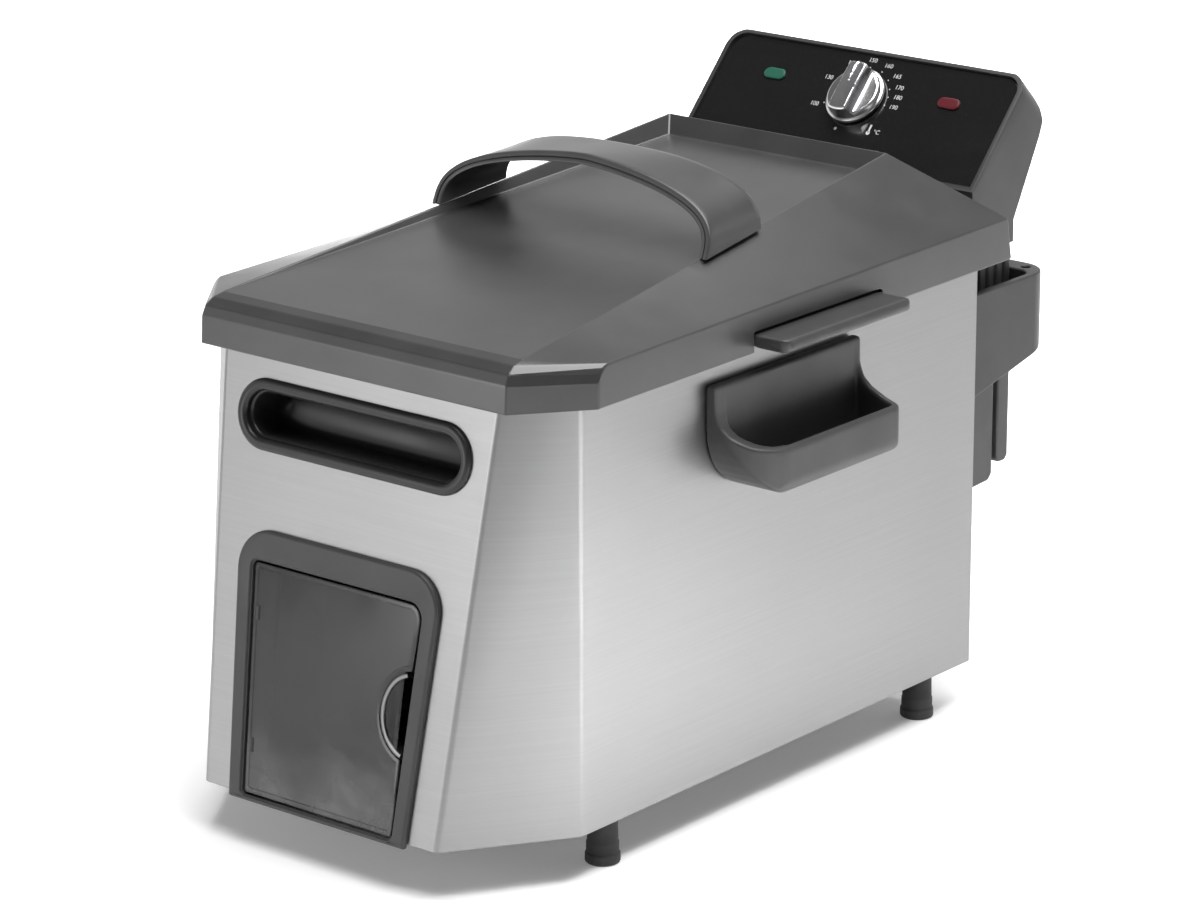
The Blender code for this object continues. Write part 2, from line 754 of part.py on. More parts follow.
def build_bowl():
    rim = CASE_TOP + GAP
    lip = fillet(case_corners(CASE_TOP, BOWL_LIP), 4.0, 5)
    t = BOWL_SHEET
    loops = [
        tub_loop(99.0, 18.0, 306.0, 16.0, BOWL_FLOOR, 14.0),
        tub_loop(101.0, 16.0, 309.0, 16.0, BOWL_FLOOR + 4.0, 15.0),
        tub_loop(108.0, 4.0, 321.0, 18.0, rim, 12.0),
        [(x, y, rim) for x, y in lip], [(x, y, rim + t) for x, y in lip],
        tub_loop(108.0 - t, 4.0 + t, 321.0 - t, 18.0, rim + t, 11.0),
        tub_loop(99.8, 17.2, 307.8, 16.0, BOWL_FLOOR + 5.2, 14.0),
        tub_loop(97.8, 19.2, 304.8, 16.0, BOWL_FLOOR + t, 13.0),
    ]
    bowl = loft("bowl", loops, "polished steel")
    profile = [(0, OUTLET_R), (30, OUTLET_R)]
    outlet = turned("cutter", (0, PIPE_Y, 30), (0, 0, 1), profile, "black plastic", 20)
    combine(bowl, outlet, "DIFFERENCE")
    pivot(bowl, 0, 160, rim)
    return bowl


def build_bowl_grip(side):
    s = 1.0 if side == "right" else -1.0
    low = CASE_TOP + GAP + BOWL_SHEET + GAP
    section = [
        (117.0, low), (129.0, low), (133.0, TAB_LOW), (TAB_OUT - 2.0, TAB_LOW),
        (TAB_OUT, TAB_LOW + 2.0), (TAB_OUT, TAB_HIGH - 2.0), (TAB_OUT - 2.0, TAB_HIGH), (117.0, TAB_HIGH),
    ]
    outline = [(s * x, z) for x, z in section]
    grip = prism(f"bowl_grip_{side}", outline, "y", TAB_Y0, TAB_Y1, "dark grey plastic")
    near = 110.0 * s
    far = TAB_OUT * s
    plan = fillet([(near, TAB_Y0), (far, TAB_Y0), (far, TAB_Y1), (near, TAB_Y1)], [0.5, 6.0, 3.0, 0.5])
    combine(grip, prism("cutter", plan, "z", 200.0, 260.0, "dark grey plastic"), "INTERSECT")
    return grip


def build_basket():
    top = BASKET_TOP
    t = BASKET_SHEET
    loops = [
        tub_loop(88.0, 32.0, 288.0, 12.0, BASKET_FLOOR, 14.0),
        tub_loop(94.0, 26.0, 294.0, 12.0, top - 4.0, 14.0),
        tub_loop(96.0, 24.0, 296.0, 12.0, top - 4.0, 15.0),
        tub_loop(96.0, 24.0, 296.0, 12.0, top, 15.0),
        tub_loop(94.0 - t, 26.0 + t, 294.0 - t, 12.0, top, 13.0),
        tub_loop(88.0 - t, 32.0 + t, 288.0 - t, 12.0, BASKET_FLOOR + t, 13.0),
    ]
    basket = loft("basket", loops, "polished steel")
    combine(basket, grid_cutter(), "DIFFERENCE")
    pivot(basket, 0, 160, BASKET_FLOOR)
    return basket


def grid_cutter():
    """Rows of small blocks that open the basket's floor and walls."""
    bm = bmesh.new()

    def block(low, high):
        made = bmesh.ops.create_cube(bm, size=1.0)
        for vert in made["verts"]:
            for k in range(3):
                vert.co[k] = low[k] + (vert.co[k] + 0.5) * (high[k] - low[k])

    columns = [i * MESH_PITCH_X for i in range(-3, 4)]
    rows = [MESH_FIRST_Y + j * MESH_PITCH_Y for j in range(9)]
    for x in columns:
        for y in rows:
            block((x - MESH_HALF_X, y - MESH_HALF_Y, 70.0), (x + MESH_HALF_X, y + MESH_HALF_Y, 90.0))
    for z in MESH_LEVELS:
        top = z + MESH_TALL
        for y in rows:
            for near, far in ((80.0, 110.0), (-110.0, -80.0)):
                block((near, y - MESH_HALF_Y, z), (far, y + MESH_HALF_Y, top))
        for x in columns:
            for near, far in ((15.0, 42.0), (275.0, 305.0)):
                block((x - MESH_HALF_X, near, z), (x + MESH_HALF_X, far, top))
    return finish("cutter", bm, "polished steel")


def build_basket_handle():
    side = [(22.0, 196.0), (16.5, 214.0), (16.5, 226.0), (60.0, 236.0), (128.0, 240.0)]
    corners = [(RAIL_X, y, z) for y, z in side] + [(-RAIL_X, y, z) for y, z in side[::-1]]
    tube("basket_handle", round_path(corners, 5.0), RAIL_R, "chrome", 12)
    pad = fillet([(-24.0, 121.0), (24.0, 121.0), (24.0, 125.7), (-24.0, 125.7)], 1.5, 3)
    prism("basket_handle_pad", pad, "z", 234.0, 244.5, "black plastic")


# ---------------------------------------------------------------- lid

def lid_corners():
    """Rear corners of one half: lower rim, upper rim, ridge and tray."""
    return {"rb": RIM_BACK, "rt": RIM_TOP, "g": RIDGE_BACK, "pr": TRAY_BACK}


def mirror(p):
    return (-p[0], p[1], p[2])


def grid_faces(bm, rows):
    for low, high in zip(rows, rows[1:]):
        for a, b, c, d in zip(low, low[1:], high[1:], high):
            bm.faces.new((a, b, c, d))


def ruled(bm, a, b, c, d, steps):
    """Ruled strip from edge a-b to edge d-c."""
    rows = []
    for i in range(steps + 1):
        t = i / steps
        rows.append([bm.verts.new(Vector(a).lerp(Vector(d), t)), bm.verts.new(Vector(b).lerp(Vector(c), t))])
    grid_faces(bm, rows)


def lid_half(bm, flip, steps):
    """Cheek, side wall, tray wall and front corner of one side of the lid."""
    p = lid_corners()
    front = SKIRT_FRONT
    side = SKIRT_SIDE
    if flip:
        p = {key: mirror(value) for key, value in p.items()}
        front = [mirror(q) for q in front]
        side = [mirror(q) for q in side]
    ruled(bm, side[-1], front[-1], p["g"], p["rt"], steps)
    ruled(bm, front[-1], front[-1], p["pr"], p["g"], steps)
    grid_faces(bm, [[bm.verts.new(q) for q in front], [bm.verts.new(q) for q in side]])
    top = [Vector(side[-1]).lerp(Vector(p["rt"]), i / steps) for i in range(1, steps + 1)]
    bm.faces.new([bm.verts.new(q) for q in side + top + [p["rb"]]])


def build_lid():
    p = lid_corners()
    m = {key: mirror(value) for key, value in p.items()}
    steps = 10
    bm = bmesh.new()
    lid_half(bm, False, steps)
    lid_half(bm, True, steps)
    left = [mirror(q) for q in SKIRT_FRONT]
    grid_faces(bm, [[bm.verts.new(q) for q in SKIRT_FRONT], [bm.verts.new(q) for q in left]])
    ruled(bm, SKIRT_FRONT[-1], left[-1], m["pr"], p["pr"], steps)
    ruled(bm, p["pr"], m["pr"], m["g"], p["g"], 1)
    ruled(bm, p["g"], m["g"], m["rt"], p["rt"], 1)
    ruled(bm, p["rt"], m["rt"], m["rb"], p["rb"], 1)
    lid = finish("lid", bm, "lid plastic")
    shell = lid.modifiers.new("wall", "SOLIDIFY")
    shell.thickness = LID_WALL * MM
    shell.offset = -1.0
    shell.use_even_offset = True
    apply_modifiers(lid)
    for s in (1.0, -1.0):
        xs = sorted((118.0 * s, 137.0 * s))
        cut_box(lid, (xs[0], TAB_Y0 - TAB_CLEAR, 215.0), (xs[1], TAB_Y1 + TAB_CLEAR, TAB_HIGH + 1.4))
    cut_box(lid, (-62.0, 350.0, 215.0), (62.0, 370.0, NECK_HIGH + 3.5))
    pivot(lid, 0, 160, 227)
    return lid


def arch_point(t, share, inner):
    """Point of the arch: t runs from the right foot to the left, share from front edge to rear."""
    half = ARCH_HALF - 4.0 * share
    base = ARCH_FOOT_Z + ARCH_FOOT_SLOPE * share
    rise = ARCH_RISE - 7.0 * share
    if inner:
        half -= ARCH_THICK
        rise -= ARCH_THICK
    c = math.cos(math.pi * t)
    s = math.sin(math.pi * t)
    x = half * math.copysign(abs(c) ** (1.40 - 0.62 * share), c)
    lift = rise * abs(s) ** (0.64 + 0.18 * share)
    y = ARCH_Y0 + (ARCH_Y1 - ARCH_Y0) * share + ARCH_LEAN * (1.0 - share) * lift
    return (x, y, base + lift)


def build_lid_handle():
    steps = 44
    loops = []
    for i in range(steps + 1):
        t = i / steps
        outer = [arch_point(t, s, False) for s in (0.02, 0.25, 0.5, 0.75, 0.98)]
        inner = [arch_point(t, s, True) for s in (1.0, 0.75, 0.5, 0.25, 0.0)]
        loops.append(outer + inner)
    return loft("lid_handle", loops, "lid plastic")


def build_handle_screws():
    profile = [(0.0, 3.6), (1.6, 3.6), (2.4, 2.4)]
    for side, x in (("right", HANDLE_SCREW_X), ("left", -HANDLE_SCREW_X)):
        turned(f"handle_screw_{side}", (x, 164.0, 258.6), (0, 0.08, -1), profile, "polished steel", 20)


# ---------------------------------------------------------------- control unit

def build_control_base():
    half = HEAD_HALF_W + 1.0
    corners = [(half, BASE_FRONT), (half, BASE_BACK), (-half, BASE_BACK), (-half, BASE_FRONT)]
    plan = fillet(corners, [2.0, 6.0, 6.0, 2.0])
    base = prism("control_base", plan, "z", BASE_LOW, BASE_HIGH, "dark grey plastic")
    for k in range(BASE_RIBS):
        y = BASE_FRONT + 6.4 + 8.0 * k
        for s in (1.0, -1.0):
            xs = sorted(((half - 1.2) * s, (half + 2.0) * s))
            cut_box(base, (xs[0], y, BASE_LOW - 2.0), (xs[1], y + 3.0, BASE_HIGH - 2.4))
    return base


def head_profile():
    low = fascia_point(0.0, -52.0, 1.0)
    high = fascia_point(0.0, 25.4, 1.0)
    return [
        (362.6, 225.7), (403.0, 225.7), (403.0, 238.6), (426.0, 281.0), (429.4, 289.6),
        (429.2, 297.0), (424.0, 308.0), (high[1] + 1.5, high[2] - 0.4), (high[1] - 1.0, high[2]),
        (low[1], low[2]), (362.6, low[2] - 2.6),
    ]


def build_control_housing():
    half = HEAD_HALF_W
    housing = prism("control_housing", head_profile(), "x", -half, half, "dark grey plastic")
    front = fascia_outline(-160.0, half, 25.6, 13.0)
    combine(housing, fascia_column(front), "INTERSECT")
    half = FASCIA_HALF_W + FASCIA_CLEAR
    low = FASCIA_LOW_S - FASCIA_CLEAR
    high = FASCIA_HIGH_S + FASCIA_CLEAR
    seat = -FASCIA_THICK - FASCIA_CLEAR
    hollow = [
        fascia_point(0.0, low, seat), fascia_point(0.0, low, 8.0), fascia_point(0.0, high, 8.0),
        fascia_point(0.0, high, seat), (0.0, 419.5, 304.0), (0.0, 426.0, 291.0),
        (0.0, 400.0, 240.0), (0.0, 400.0, HEAD_FLOOR), (0.0, 366.0, HEAD_FLOOR), (0.0, 366.0, 256.0),
    ]
    cutter = prism("cutter", [(y, z) for _, y, z in hollow], "x", -half, half, "black plastic")
    combine(cutter, fascia_column(fascia_outline(-160.0, half, high, 10.0)), "INTERSECT")
    combine(housing, cutter, "DIFFERENCE")
    return housing


def fascia_column(outline):
    """Block that stands square to the fascia on an outline."""
    loops = [[fascia_point(u, s, w) for u, s in outline] for w in (-90.0, 40.0)]
    return loft("limit", loops, "black plastic")


def fascia_outline(low, half, high, radius):
    corners = [(half, low), (half, high), (-half, high), (-half, low)]
    return fillet(corners, [1.0, radius, radius, 1.0], 8)


def build_fascia():
    outline = fascia_outline(FASCIA_LOW_S, FASCIA_HALF_W, FASCIA_HIGH_S, 10.0)
    loops = [[fascia_point(u, s, w) for u, s in outline] for w in (-FASCIA_THICK, 0.0)]
    fascia = loft("fascia", loops, "gloss black")
    normal = fascia_normal()
    start = Vector(fascia_point(0.0, KNOB_S, -6.0))
    bore = SPINDLE_R + 1.2
    cutter = turned("cutter", start, normal, [(0, bore), (12, bore)], "black plastic", 24)
    combine(fascia, cutter, "DIFFERENCE")
    return fascia


def fascia_normal():
    return Vector((0.0, -math.cos(FASCIA_TILT), math.sin(FASCIA_TILT)))


def build_knob():
    normal = fascia_normal()
    base = fascia_point(0.0, KNOB_S, 0.6)
    skirt = KNOB_H - 5.0
    profile = [
        (0.0, KNOB_R - 0.6), (0.6, KNOB_R), (2.0, KNOB_R), (3.0, KNOB_R - 0.6),
        (skirt - 0.5, KNOB_R - 1.2), (skirt, KNOB_R - 1.8),
    ]
    knob = turned("thermostat_knob", base, normal, profile, "chrome", 48)
    bar = fillet([(6.2, -16.2), (6.2, 16.2), (-6.2, 16.2), (-6.2, -16.2)], 2.5, 4)
    low = [fascia_point(u, KNOB_S + s, 2.0) for u, s in bar]
    high = [fascia_point(u * 0.9, KNOB_S + s * 0.97, 0.6 + KNOB_H) for u, s in bar]
    combine(knob, loft("cutter", [low, high], "chrome"), "UNION")
    pivot(knob, *base)
    start = fascia_point(0.0, KNOB_S, -7.0)
    profile = [(0, SPINDLE_R), (7.3, SPINDLE_R)]
    spindle = turned("thermostat_spindle", start, normal, profile, "polished steel", 24)
    pivot(spindle, *base)


def build_lamps():
    for color, x in (("green", -LAMP_X), ("red", LAMP_X)):
        shape = [(x + u, s) for u, s in stadium(7.4, 3.6, 0.0, 8)]
        small = [(x + u, s) for u, s in stadium(6.8, 3.0, 0.0, 8)]
        levels = ((shape, GAP), (shape, 0.9), (small, 1.4))
        loops = [[fascia_point(u, s, w) for u, s in loop] for loop, w in levels]
        loft(f"{color}_lamp_lens", loops, f"{color} lens")
        start = fascia_point(x, 0.0, -14.0)
        profile = [(0, 3.2), (14.0 - FASCIA_THICK - GAP, 3.2)]
        turned(f"{color}_lamp_holder", start, fascia_normal(), profile, "black plastic", 16)


def build_head_internals():
    start = fascia_point(0.0, KNOB_S, -21.0)
    profile = [(0, 14.0), (13.7, 14.0)]
    turned("thermostat_body", start, fascia_normal(), profile, "black plastic", 32)
    floor = HEAD_FLOOR + GAP
    profile = [(0, 9.0), (6.0, 9.0), (6.4, 7.0), (11.0, 6.6)]
    turned("thermal_cutout", (45.0, 384.0, floor), (0, 0, 1), profile, "black plastic", 24)
    soft_box("terminal_block", (-62.0, 376.0, floor), (-24.0, 391.0, floor + 13.0), "black plastic", 1.0)


def build_control_neck():
    low = (-58.0, 306.0, NECK_LOW)
    soft_box("control_neck", low, (58.0, 362.3, NECK_HIGH), "dark grey plastic", 1.5)
    low = (-52.0, 303.6, BULB_Z)
    soft_box("element_bracket", low, (52.0, 305.7, NECK_HIGH), "polished steel", 0.4)


def build_heater():
    top = NECK_LOW - 7.0
    side = [
        (ELEMENT_LEG_X, ELEMENT_BACK, top), (ELEMENT_LEG_X, ELEMENT_BACK, ELEMENT_Z),
        (ELEMENT_LEG_X, 270.0, ELEMENT_Z), (ELEMENT_X, 262.0, ELEMENT_Z),
        (ELEMENT_X, ELEMENT_FRONT, ELEMENT_Z),
    ]
    path = [(-x, y, z) for x, y, z in side] + side[::-1]
    tube("heating_element", round_path(path, 12.0), ELEMENT_R, "element tube", 12)
    back = ELEMENT_BACK - 0.5
    path = round_path([(0, back, top), (0, back, BULB_Z), (0, 190.0, BULB_Z)], 9.0)
    tube("sensor_bulb", path, BULB_R, "polished steel", 10)


def build_strain_relief():
    profile = [(0.0, 7.0), (3.0, 7.0), (3.6, 5.6), (12.0, 5.0)]
    base = (-78.0, 403.0 + GAP, 231.0)
    gland = turned("cord_gland", base, (0, 1, 0), profile, "rubber", 24)
    start = (base[0], base[1] + GLAND_WEB, base[2])
    bore = turned("cutter", start, (0, 1, 0), [(0, GLAND_BORE_R), (15, GLAND_BORE_R)], "rubber", 20)
    combine(gland, bore, "DIFFERENCE")


# ---------------------------------------------------------------- rear guide and cord storage

def build_rear_guide():
    half = GUIDE_HALF_W
    front = CASE_BACK + GAP
    corners = [(half, front), (half, GUIDE_BACK), (-half, GUIDE_BACK), (-half, front)]
    plan = fillet(corners, [1.0, 18.0, 18.0, 1.0], 8)
    guide = prism("rear_guide", plan, "z", 140.0, GUIDE_TOP, "dark grey plastic")
    near = front - 5.0
    far = GUIDE_BACK + 5.0
    under = [(near, 130.0), (far, 130.0), (far, 168.5), (near, 148.8)]
    combine(guide, prism("cutter", under, "x", -half - 5.0, half + 5.0, "black plastic"), "DIFFERENCE")
    inner = half - GUIDE_WALL
    near = front + 2.4
    far = GUIDE_POCKET_BACK
    plan = fillet([(inner, near), (inner, far), (-inner, far), (-inner, near)], [2.0, 8.0, 8.0, 2.0])
    pocket = prism("cutter", plan, "z", GUIDE_FLOOR, GUIDE_TOP + 5.0, "black plastic")
    combine(guide, pocket, "DIFFERENCE")
    base = (106.0, 411.5, GUIDE_TOP - 8.0)
    hole = turned("cutter", base, (0, 0, 1), [(0, 2.6), (12, 2.6)], "black plastic", 18)
    combine(guide, hole, "DIFFERENCE")
    return guide


def build_cord_storage():
    front = CASE_BACK + GAP
    back = WRAP_CORE_BACK
    half = WRAP_HALF_W
    side = [(front, 93.0), (back - 3.5, 94.6), (back, 98.0), (back, 157.8), (front, 148.5)]
    prism("cord_wrap_core", side, "x", -half, half, "dark grey plastic")
    low = (-84.0, back + GAP, 108.0)
    soft_box("cord_wrap_post", low, (84.0, WRAP_PLATE_FRONT - GAP, 150.0), "dark grey plastic", 0.0)
    near = WRAP_PLATE_FRONT
    far = WRAP_PLATE_BACK
    side = [
        (near, 106.0), (near + 2.5, 103.0), (far - 2.3, 103.0), (far, 106.0), (far, 161.0), (near, 158.2),
    ]
    prism("cord_wrap_plate", side, "x", -half, half, "dark grey plastic")


def main():
    clear_scene()
    make_materials()
    build_outer_casing()
    build_base_plate()
    build_rear_panel()
    build_feet()
    build_base_screws()
    build_front_recess()
    build_drain_bezel()
    build_drain_door()
    build_door_pull()
    build_bay_liner()
    build_drain_parts()
    build_side_handle("right")
    build_side_handle("left")
    build_bowl()
    build_bowl_grip("right")
    build_bowl_grip("left")
    build_basket()
    build_basket_handle()
    build_lid()
    build_lid_handle()
    build_handle_screws()
    build_control_base()
    build_control_housing()
    build_fascia()
    build_knob()
    build_lamps()
    build_head_internals()
    build_control_neck()
    build_heater()
    build_strain_relief()
    build_rear_guide()
    build_cord_storage()


main()
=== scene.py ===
"""Looks of the countertop deep fryer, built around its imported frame."""
import json
import math

import bmesh
import bpy
from mathutils import Matrix, Vector


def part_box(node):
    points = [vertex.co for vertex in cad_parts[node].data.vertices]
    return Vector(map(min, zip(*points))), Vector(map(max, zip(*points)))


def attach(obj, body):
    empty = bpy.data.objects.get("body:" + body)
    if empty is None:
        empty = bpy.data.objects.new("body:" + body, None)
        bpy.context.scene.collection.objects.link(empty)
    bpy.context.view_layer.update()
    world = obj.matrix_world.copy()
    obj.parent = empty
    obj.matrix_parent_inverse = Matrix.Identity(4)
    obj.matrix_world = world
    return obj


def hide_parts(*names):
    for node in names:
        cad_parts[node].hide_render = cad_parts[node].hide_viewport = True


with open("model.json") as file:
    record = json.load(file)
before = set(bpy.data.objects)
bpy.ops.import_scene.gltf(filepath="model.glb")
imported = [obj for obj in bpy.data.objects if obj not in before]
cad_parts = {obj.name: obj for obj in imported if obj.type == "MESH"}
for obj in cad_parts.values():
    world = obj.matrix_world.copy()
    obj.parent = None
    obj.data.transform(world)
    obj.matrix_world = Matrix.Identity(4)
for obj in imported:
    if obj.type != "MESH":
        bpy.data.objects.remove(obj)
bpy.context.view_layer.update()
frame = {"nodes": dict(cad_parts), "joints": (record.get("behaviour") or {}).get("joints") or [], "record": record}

MM = 0.001
SLOT_OF = {row["node"]: row["material_slot"] for row in frame["record"]["subparts"]}
BODY_OF = {node: body for body, nodes in frame["record"]["behaviour"]["bodies"].items() for node in nodes}
JOINTS = {joint["name"]: joint for joint in frame["joints"]}

# Camera
CAMERA_AT = (1.55108, -1.90817, 0.92629)
CAMERA_TURN = (1.269983, 0.001692, 0.686150)
CAMERA_LENS = 142.99
CAMERA_SENSOR = 36.0

# Rounded edges, in millimetres: how wide, and from which angle between faces an edge is rounded
EDGE = (0.5, 28.0)
EDGES = {
    "outer_casing": (0.35, 40.0), "base_plate": (0.3, 40.0), "rear_panel": (0.3, 60.0), "lid": (0.9, 9.0),
    "control_base": (0.5, 40.0), "fascia": (0.35, 40.0), "rear_guide": (1.2, 24.0),
    "cord_wrap_core": (1.5, 12.0), "cord_wrap_plate": (1.2, 12.0), "bowl": (0.35, 40.0),
    "element_bracket": (0.3, 60.0), "thermostat_body": (0.8, 40.0),
}

# Nodes whose look is not that of their slot
LOOK_OF = {"rear_guide": "head_plastic", "control_base": "head_plastic", "bowl": "bowl_steel"}

# Side handles and bowl grips, remeshed and smoothed: grid in millimetres, and passes
MOULDED = ("side_handle_right", "side_handle_left", "bowl_grip_right", "bowl_grip_left")
GRIP_VOXEL = 0.75
GRIP_PASSES = 16

# Dial, in millimetres: places on the fascia across, up its slope and outwards
DIAL_RADIUS = 18.0
DIAL_HEIGHT = 13.0
DIAL_FLANGE = 1.9
DIAL_TURNS = 160
DIAL_RINGS = 30
DIAL_BAR_HALF = 5.4
DIAL_BAR_EASE = 1.9
DIAL_DISH = 7.2
DIAL_DISH_DROP = 1.6
DIAL_CROWN = 0.6
DIAL_LINE_HALF = 0.55
DIAL_LINE_START = 3.0
DIAL_LINE_DEPTH = 0.45
DIAL_ROUND = 0.9
DIAL_ROUND_DROP = 0.5

# Printed scale: angle in degrees and number, then places in millimetres. The dial's joint is DIAL_LIFT
# over the fascia
SCALE_RADIUS = 25.2
SCALE_WIDEN = 1.06
SCALE_MARKS = [
    (199, "100"), (157, "130"), (122, "140"), (93, "150"), (67, "160"),
    (44, "165"), (25, "170"), (10, "180"), (-5, "190"),
]
PRINT_SIZE = 3.9
PRINT_THICK = 0.04
DIAL_LIFT = 0.6
PRINT_LEVEL = 0.03 - DIAL_LIFT
TICK_RADIUS = 20.4
TICK_DOT = 0.4
OFF_AT = (-3.6, -21.6)
OFF_DOT = 0.95
STEM_AT = (18.6, -18.0)
STEM_HALF = (0.6, 2.6)
BULB_AT = (18.6, -20.8)
BULB_DOT = 1.3
UNIT_AT = (24.0, -19.6)

# Rim of the head housing, in millimetres from the dial's centre
RIM_ROUND = 2.3
RIM_ACROSS = 101.5
RIM_UP = 30.0
RIM_CUT = 9.0

# Leaning front panel, in millimetres: places are across, up the slope and outwards
PANEL_RUN = 36.7
PANEL_RISE = 225.0
CUP_MIDDLE = 198.5
CUP_HALF_W = 78.8
CUP_HALF_H = 18.8
CUP_RIM = 6.4
CUP_PROUD = 3.0
CUP_FOOT = 0.3
CUP_DEPTH = 28.0
CUP_BACK_INSET = 4.6
CUP_THROAT_INSET = 3.2
CUP_THROAT = -4.0
CUP_BEHIND = [(0.1, -1.2), (0.9, -1.6), (1.3, -2.4), (1.6, -6.0), (2.6, -20.0), (3.4, -24.0), (5.6, -25.6)]
BEZEL_CORNERS = [(60.6, -2.6), (69.8, 140.0), (-69.8, 140.0), (-60.6, -2.6)]
BEZEL_RADII = [1.5, 21.0, 21.0, 1.5]
BEZEL_PROUD = 3.4
BEZEL_BACK = -12.0
BEZEL_SKIRT = 3.4
BEZEL_SKIRT_LOW = 0.2
BEZEL_FOOT = 0.3
BEZEL_SHOULDER = 1.4
BEZEL_ROUND = 2.2
BEZEL_MOUTH = -0.7
BEZEL_STEP = 1.4
BEZEL_MOUTH_ROUND = (0.9, 1.0)
DOOR_CORNERS = [(51.0, 1.2), (57.6, 122.8), (-57.6, 122.8), (-51.0, 1.2)]
DOOR_RADII = [2.5, 8.0, 3.0, 2.5]
DOOR_FACE = 1.8
DOOR_THICK = 2.6
DOOR_GAP = 0.5
NOTCH_AT = (57.0, 65.0)
NOTCH_HALF = (20.5, 23.0)
NOTCH_START = (0.22, 0.035)
NOTCH_END = (0.10, 0.040)
NOTCH_STEPS = 40
PULL_STEPS = 48
PULL_BACK = -5.5
HINGE_HEIGHTS = (27.0, 96.0)
HINGE_IN = 4.2
HINGE_HALF = 3.6
HINGE_LEAN = 0.4
HINGE_RADIUS = 1.1
SMALLEST_RADIUS = 0.6

# Arch handle, in millimetres over the node's box
ARCH_THICK = 5.6
ARCH_STEPS = 120
ARCH_DEPTH = 53.0
ARCH_RISE = 38.8
ARCH_REAR_DROP = 7.0
ARCH_REAR_DRAW = 4.0
ARCH_REAR_LIFT = 5.8
ARCH_LEAN = 0.42

# Wire basket, in millimetres
FRAME_WIRE = 1.4
MESH_WIRE = 0.55
WIRE_PITCH = 7.0
FOOT_RING_UP = 3.0
NECK_RING_DOWN = 6.0
BASKET_DRAW = 6.5
BASKET_CUT = 12.0
BASKET_CORNER = 14.0
BASKET_MARGINS = (22.0, 16.0)

# Studio: the world fades upwards to a share of its level, and is dimmed towards DIM_SIDE. Each light has
# a name, place, size, power, target and spread in degrees
WORLD_LEVEL = 1.05
WORLD_FADE = (0.26, 0.60)
WORLD_ABOVE = 0.10
WORLD_DIM = 0.18
DIM_SIDE = (0.79, -0.61, 0.0)
DIM_FADE = (0.05, 0.75)
FLOOR_HALF = 14.0
LIGHTS = [
    ("top_softbox", (0.25, 0.12, 2.2), (2.3, 1.7), 84.0, (0.0, 0.0, 0.12), 180.0),
    ("backdrop_softbox", (-1.7, 2.7, 2.4), (3.0, 2.4), 195.0, (-1.7, 2.7, 0.0), 90.0),
    ("floor_softbox", (0.56, -0.09, 0.9), (0.35, 0.35), 3.2, (0.56, -0.09, 0.0), 50.0),
    ("left_softbox", (-0.6, -1.4, 0.3), (0.5, 0.6), 3.8, (0.0, -0.2, 0.12), 180.0),
]


# ---------------------------------------------------------------- shader helpers

def new_material(name):
    mat = bpy.data.materials.new(name)
    mat.use_nodes = True
    return mat, mat.node_tree, mat.node_tree.nodes["Principled BSDF"]


def add(tree, kind, **values):
    """New shader node; a value is set on the input of that name, with _ for a space."""
    node = tree.nodes.new(kind)
    for key, value in values.items():
        node.inputs[key.replace("_", " ")].default_value = value
    return node


def coordinates(tree, scale):
    """Object coordinates, in metres, stretched by a scale for each axis."""
    place = tree.nodes.new("ShaderNodeTexCoord")
    mapping = add(tree, "ShaderNodeMapping", Scale=scale)
    tree.links.new(place.outputs["Object"], mapping.inputs["Vector"])
    return mapping.outputs["Vector"]


def noise(tree, scale, detail=3.0, rough=0.55, distort=0.0):
    node = add(tree, "ShaderNodeTexNoise", Scale=1.0, Detail=detail, Roughness=rough, Distortion=distort)
    tree.links.new(coordinates(tree, scale), node.inputs["Vector"])
    return node.outputs["Fac"]


def spread(tree, value, low, high, start=0.3, end=0.7):
    """Map a noise value to a range."""
    node = add(tree, "ShaderNodeMapRange", From_Min=start, From_Max=end, To_Min=low, To_Max=high)
    tree.links.new(value, node.inputs["Value"])
    return node.outputs["Result"]


def tint(tree, value, dark, light, start=0.3, end=0.7):
    node = tree.nodes.new("ShaderNodeValToRGB")
    ramp = node.color_ramp
    ramp.elements[0].position = start
    ramp.elements[1].position = end
    ramp.elements[0].color = (*dark, 1.0)
    ramp.elements[1].color = (*light, 1.0)
    tree.links.new(value, node.inputs["Fac"])
    return node.outputs["Color"]


def bump(tree, shader, value, strength, distance, under=None):
    node = add(tree, "ShaderNodeBump", Strength=strength, Distance=distance)
    tree.links.new(value, node.inputs["Height"])
    if under is not None:
        tree.links.new(under, node.inputs["Normal"])
    tree.links.new(node.outputs["Normal"], shader.inputs["Normal"])
    return node.outputs["Normal"]


def painted_edge_highlight(tree, color, amount, lift):
    """Colour that turns lighter on exposed edges: a painted highlight."""
    shape = tree.nodes.new("ShaderNodeNewGeometry")
    edge = spread(tree, shape.outputs["Pointiness"], 0.0, amount, 0.51, 0.60)
    mix = tree.nodes.new("ShaderNodeMixRGB")
    mix.blend_type = "ADD"
    tree.links.new(edge, mix.inputs["Fac"])
    tree.links.new(color, mix.inputs["Color1"])
    mix.inputs["Color2"].default_value = (lift, lift, lift, 1.0)
    return mix.outputs["Color"]


# ---------------------------------------------------------------- materials

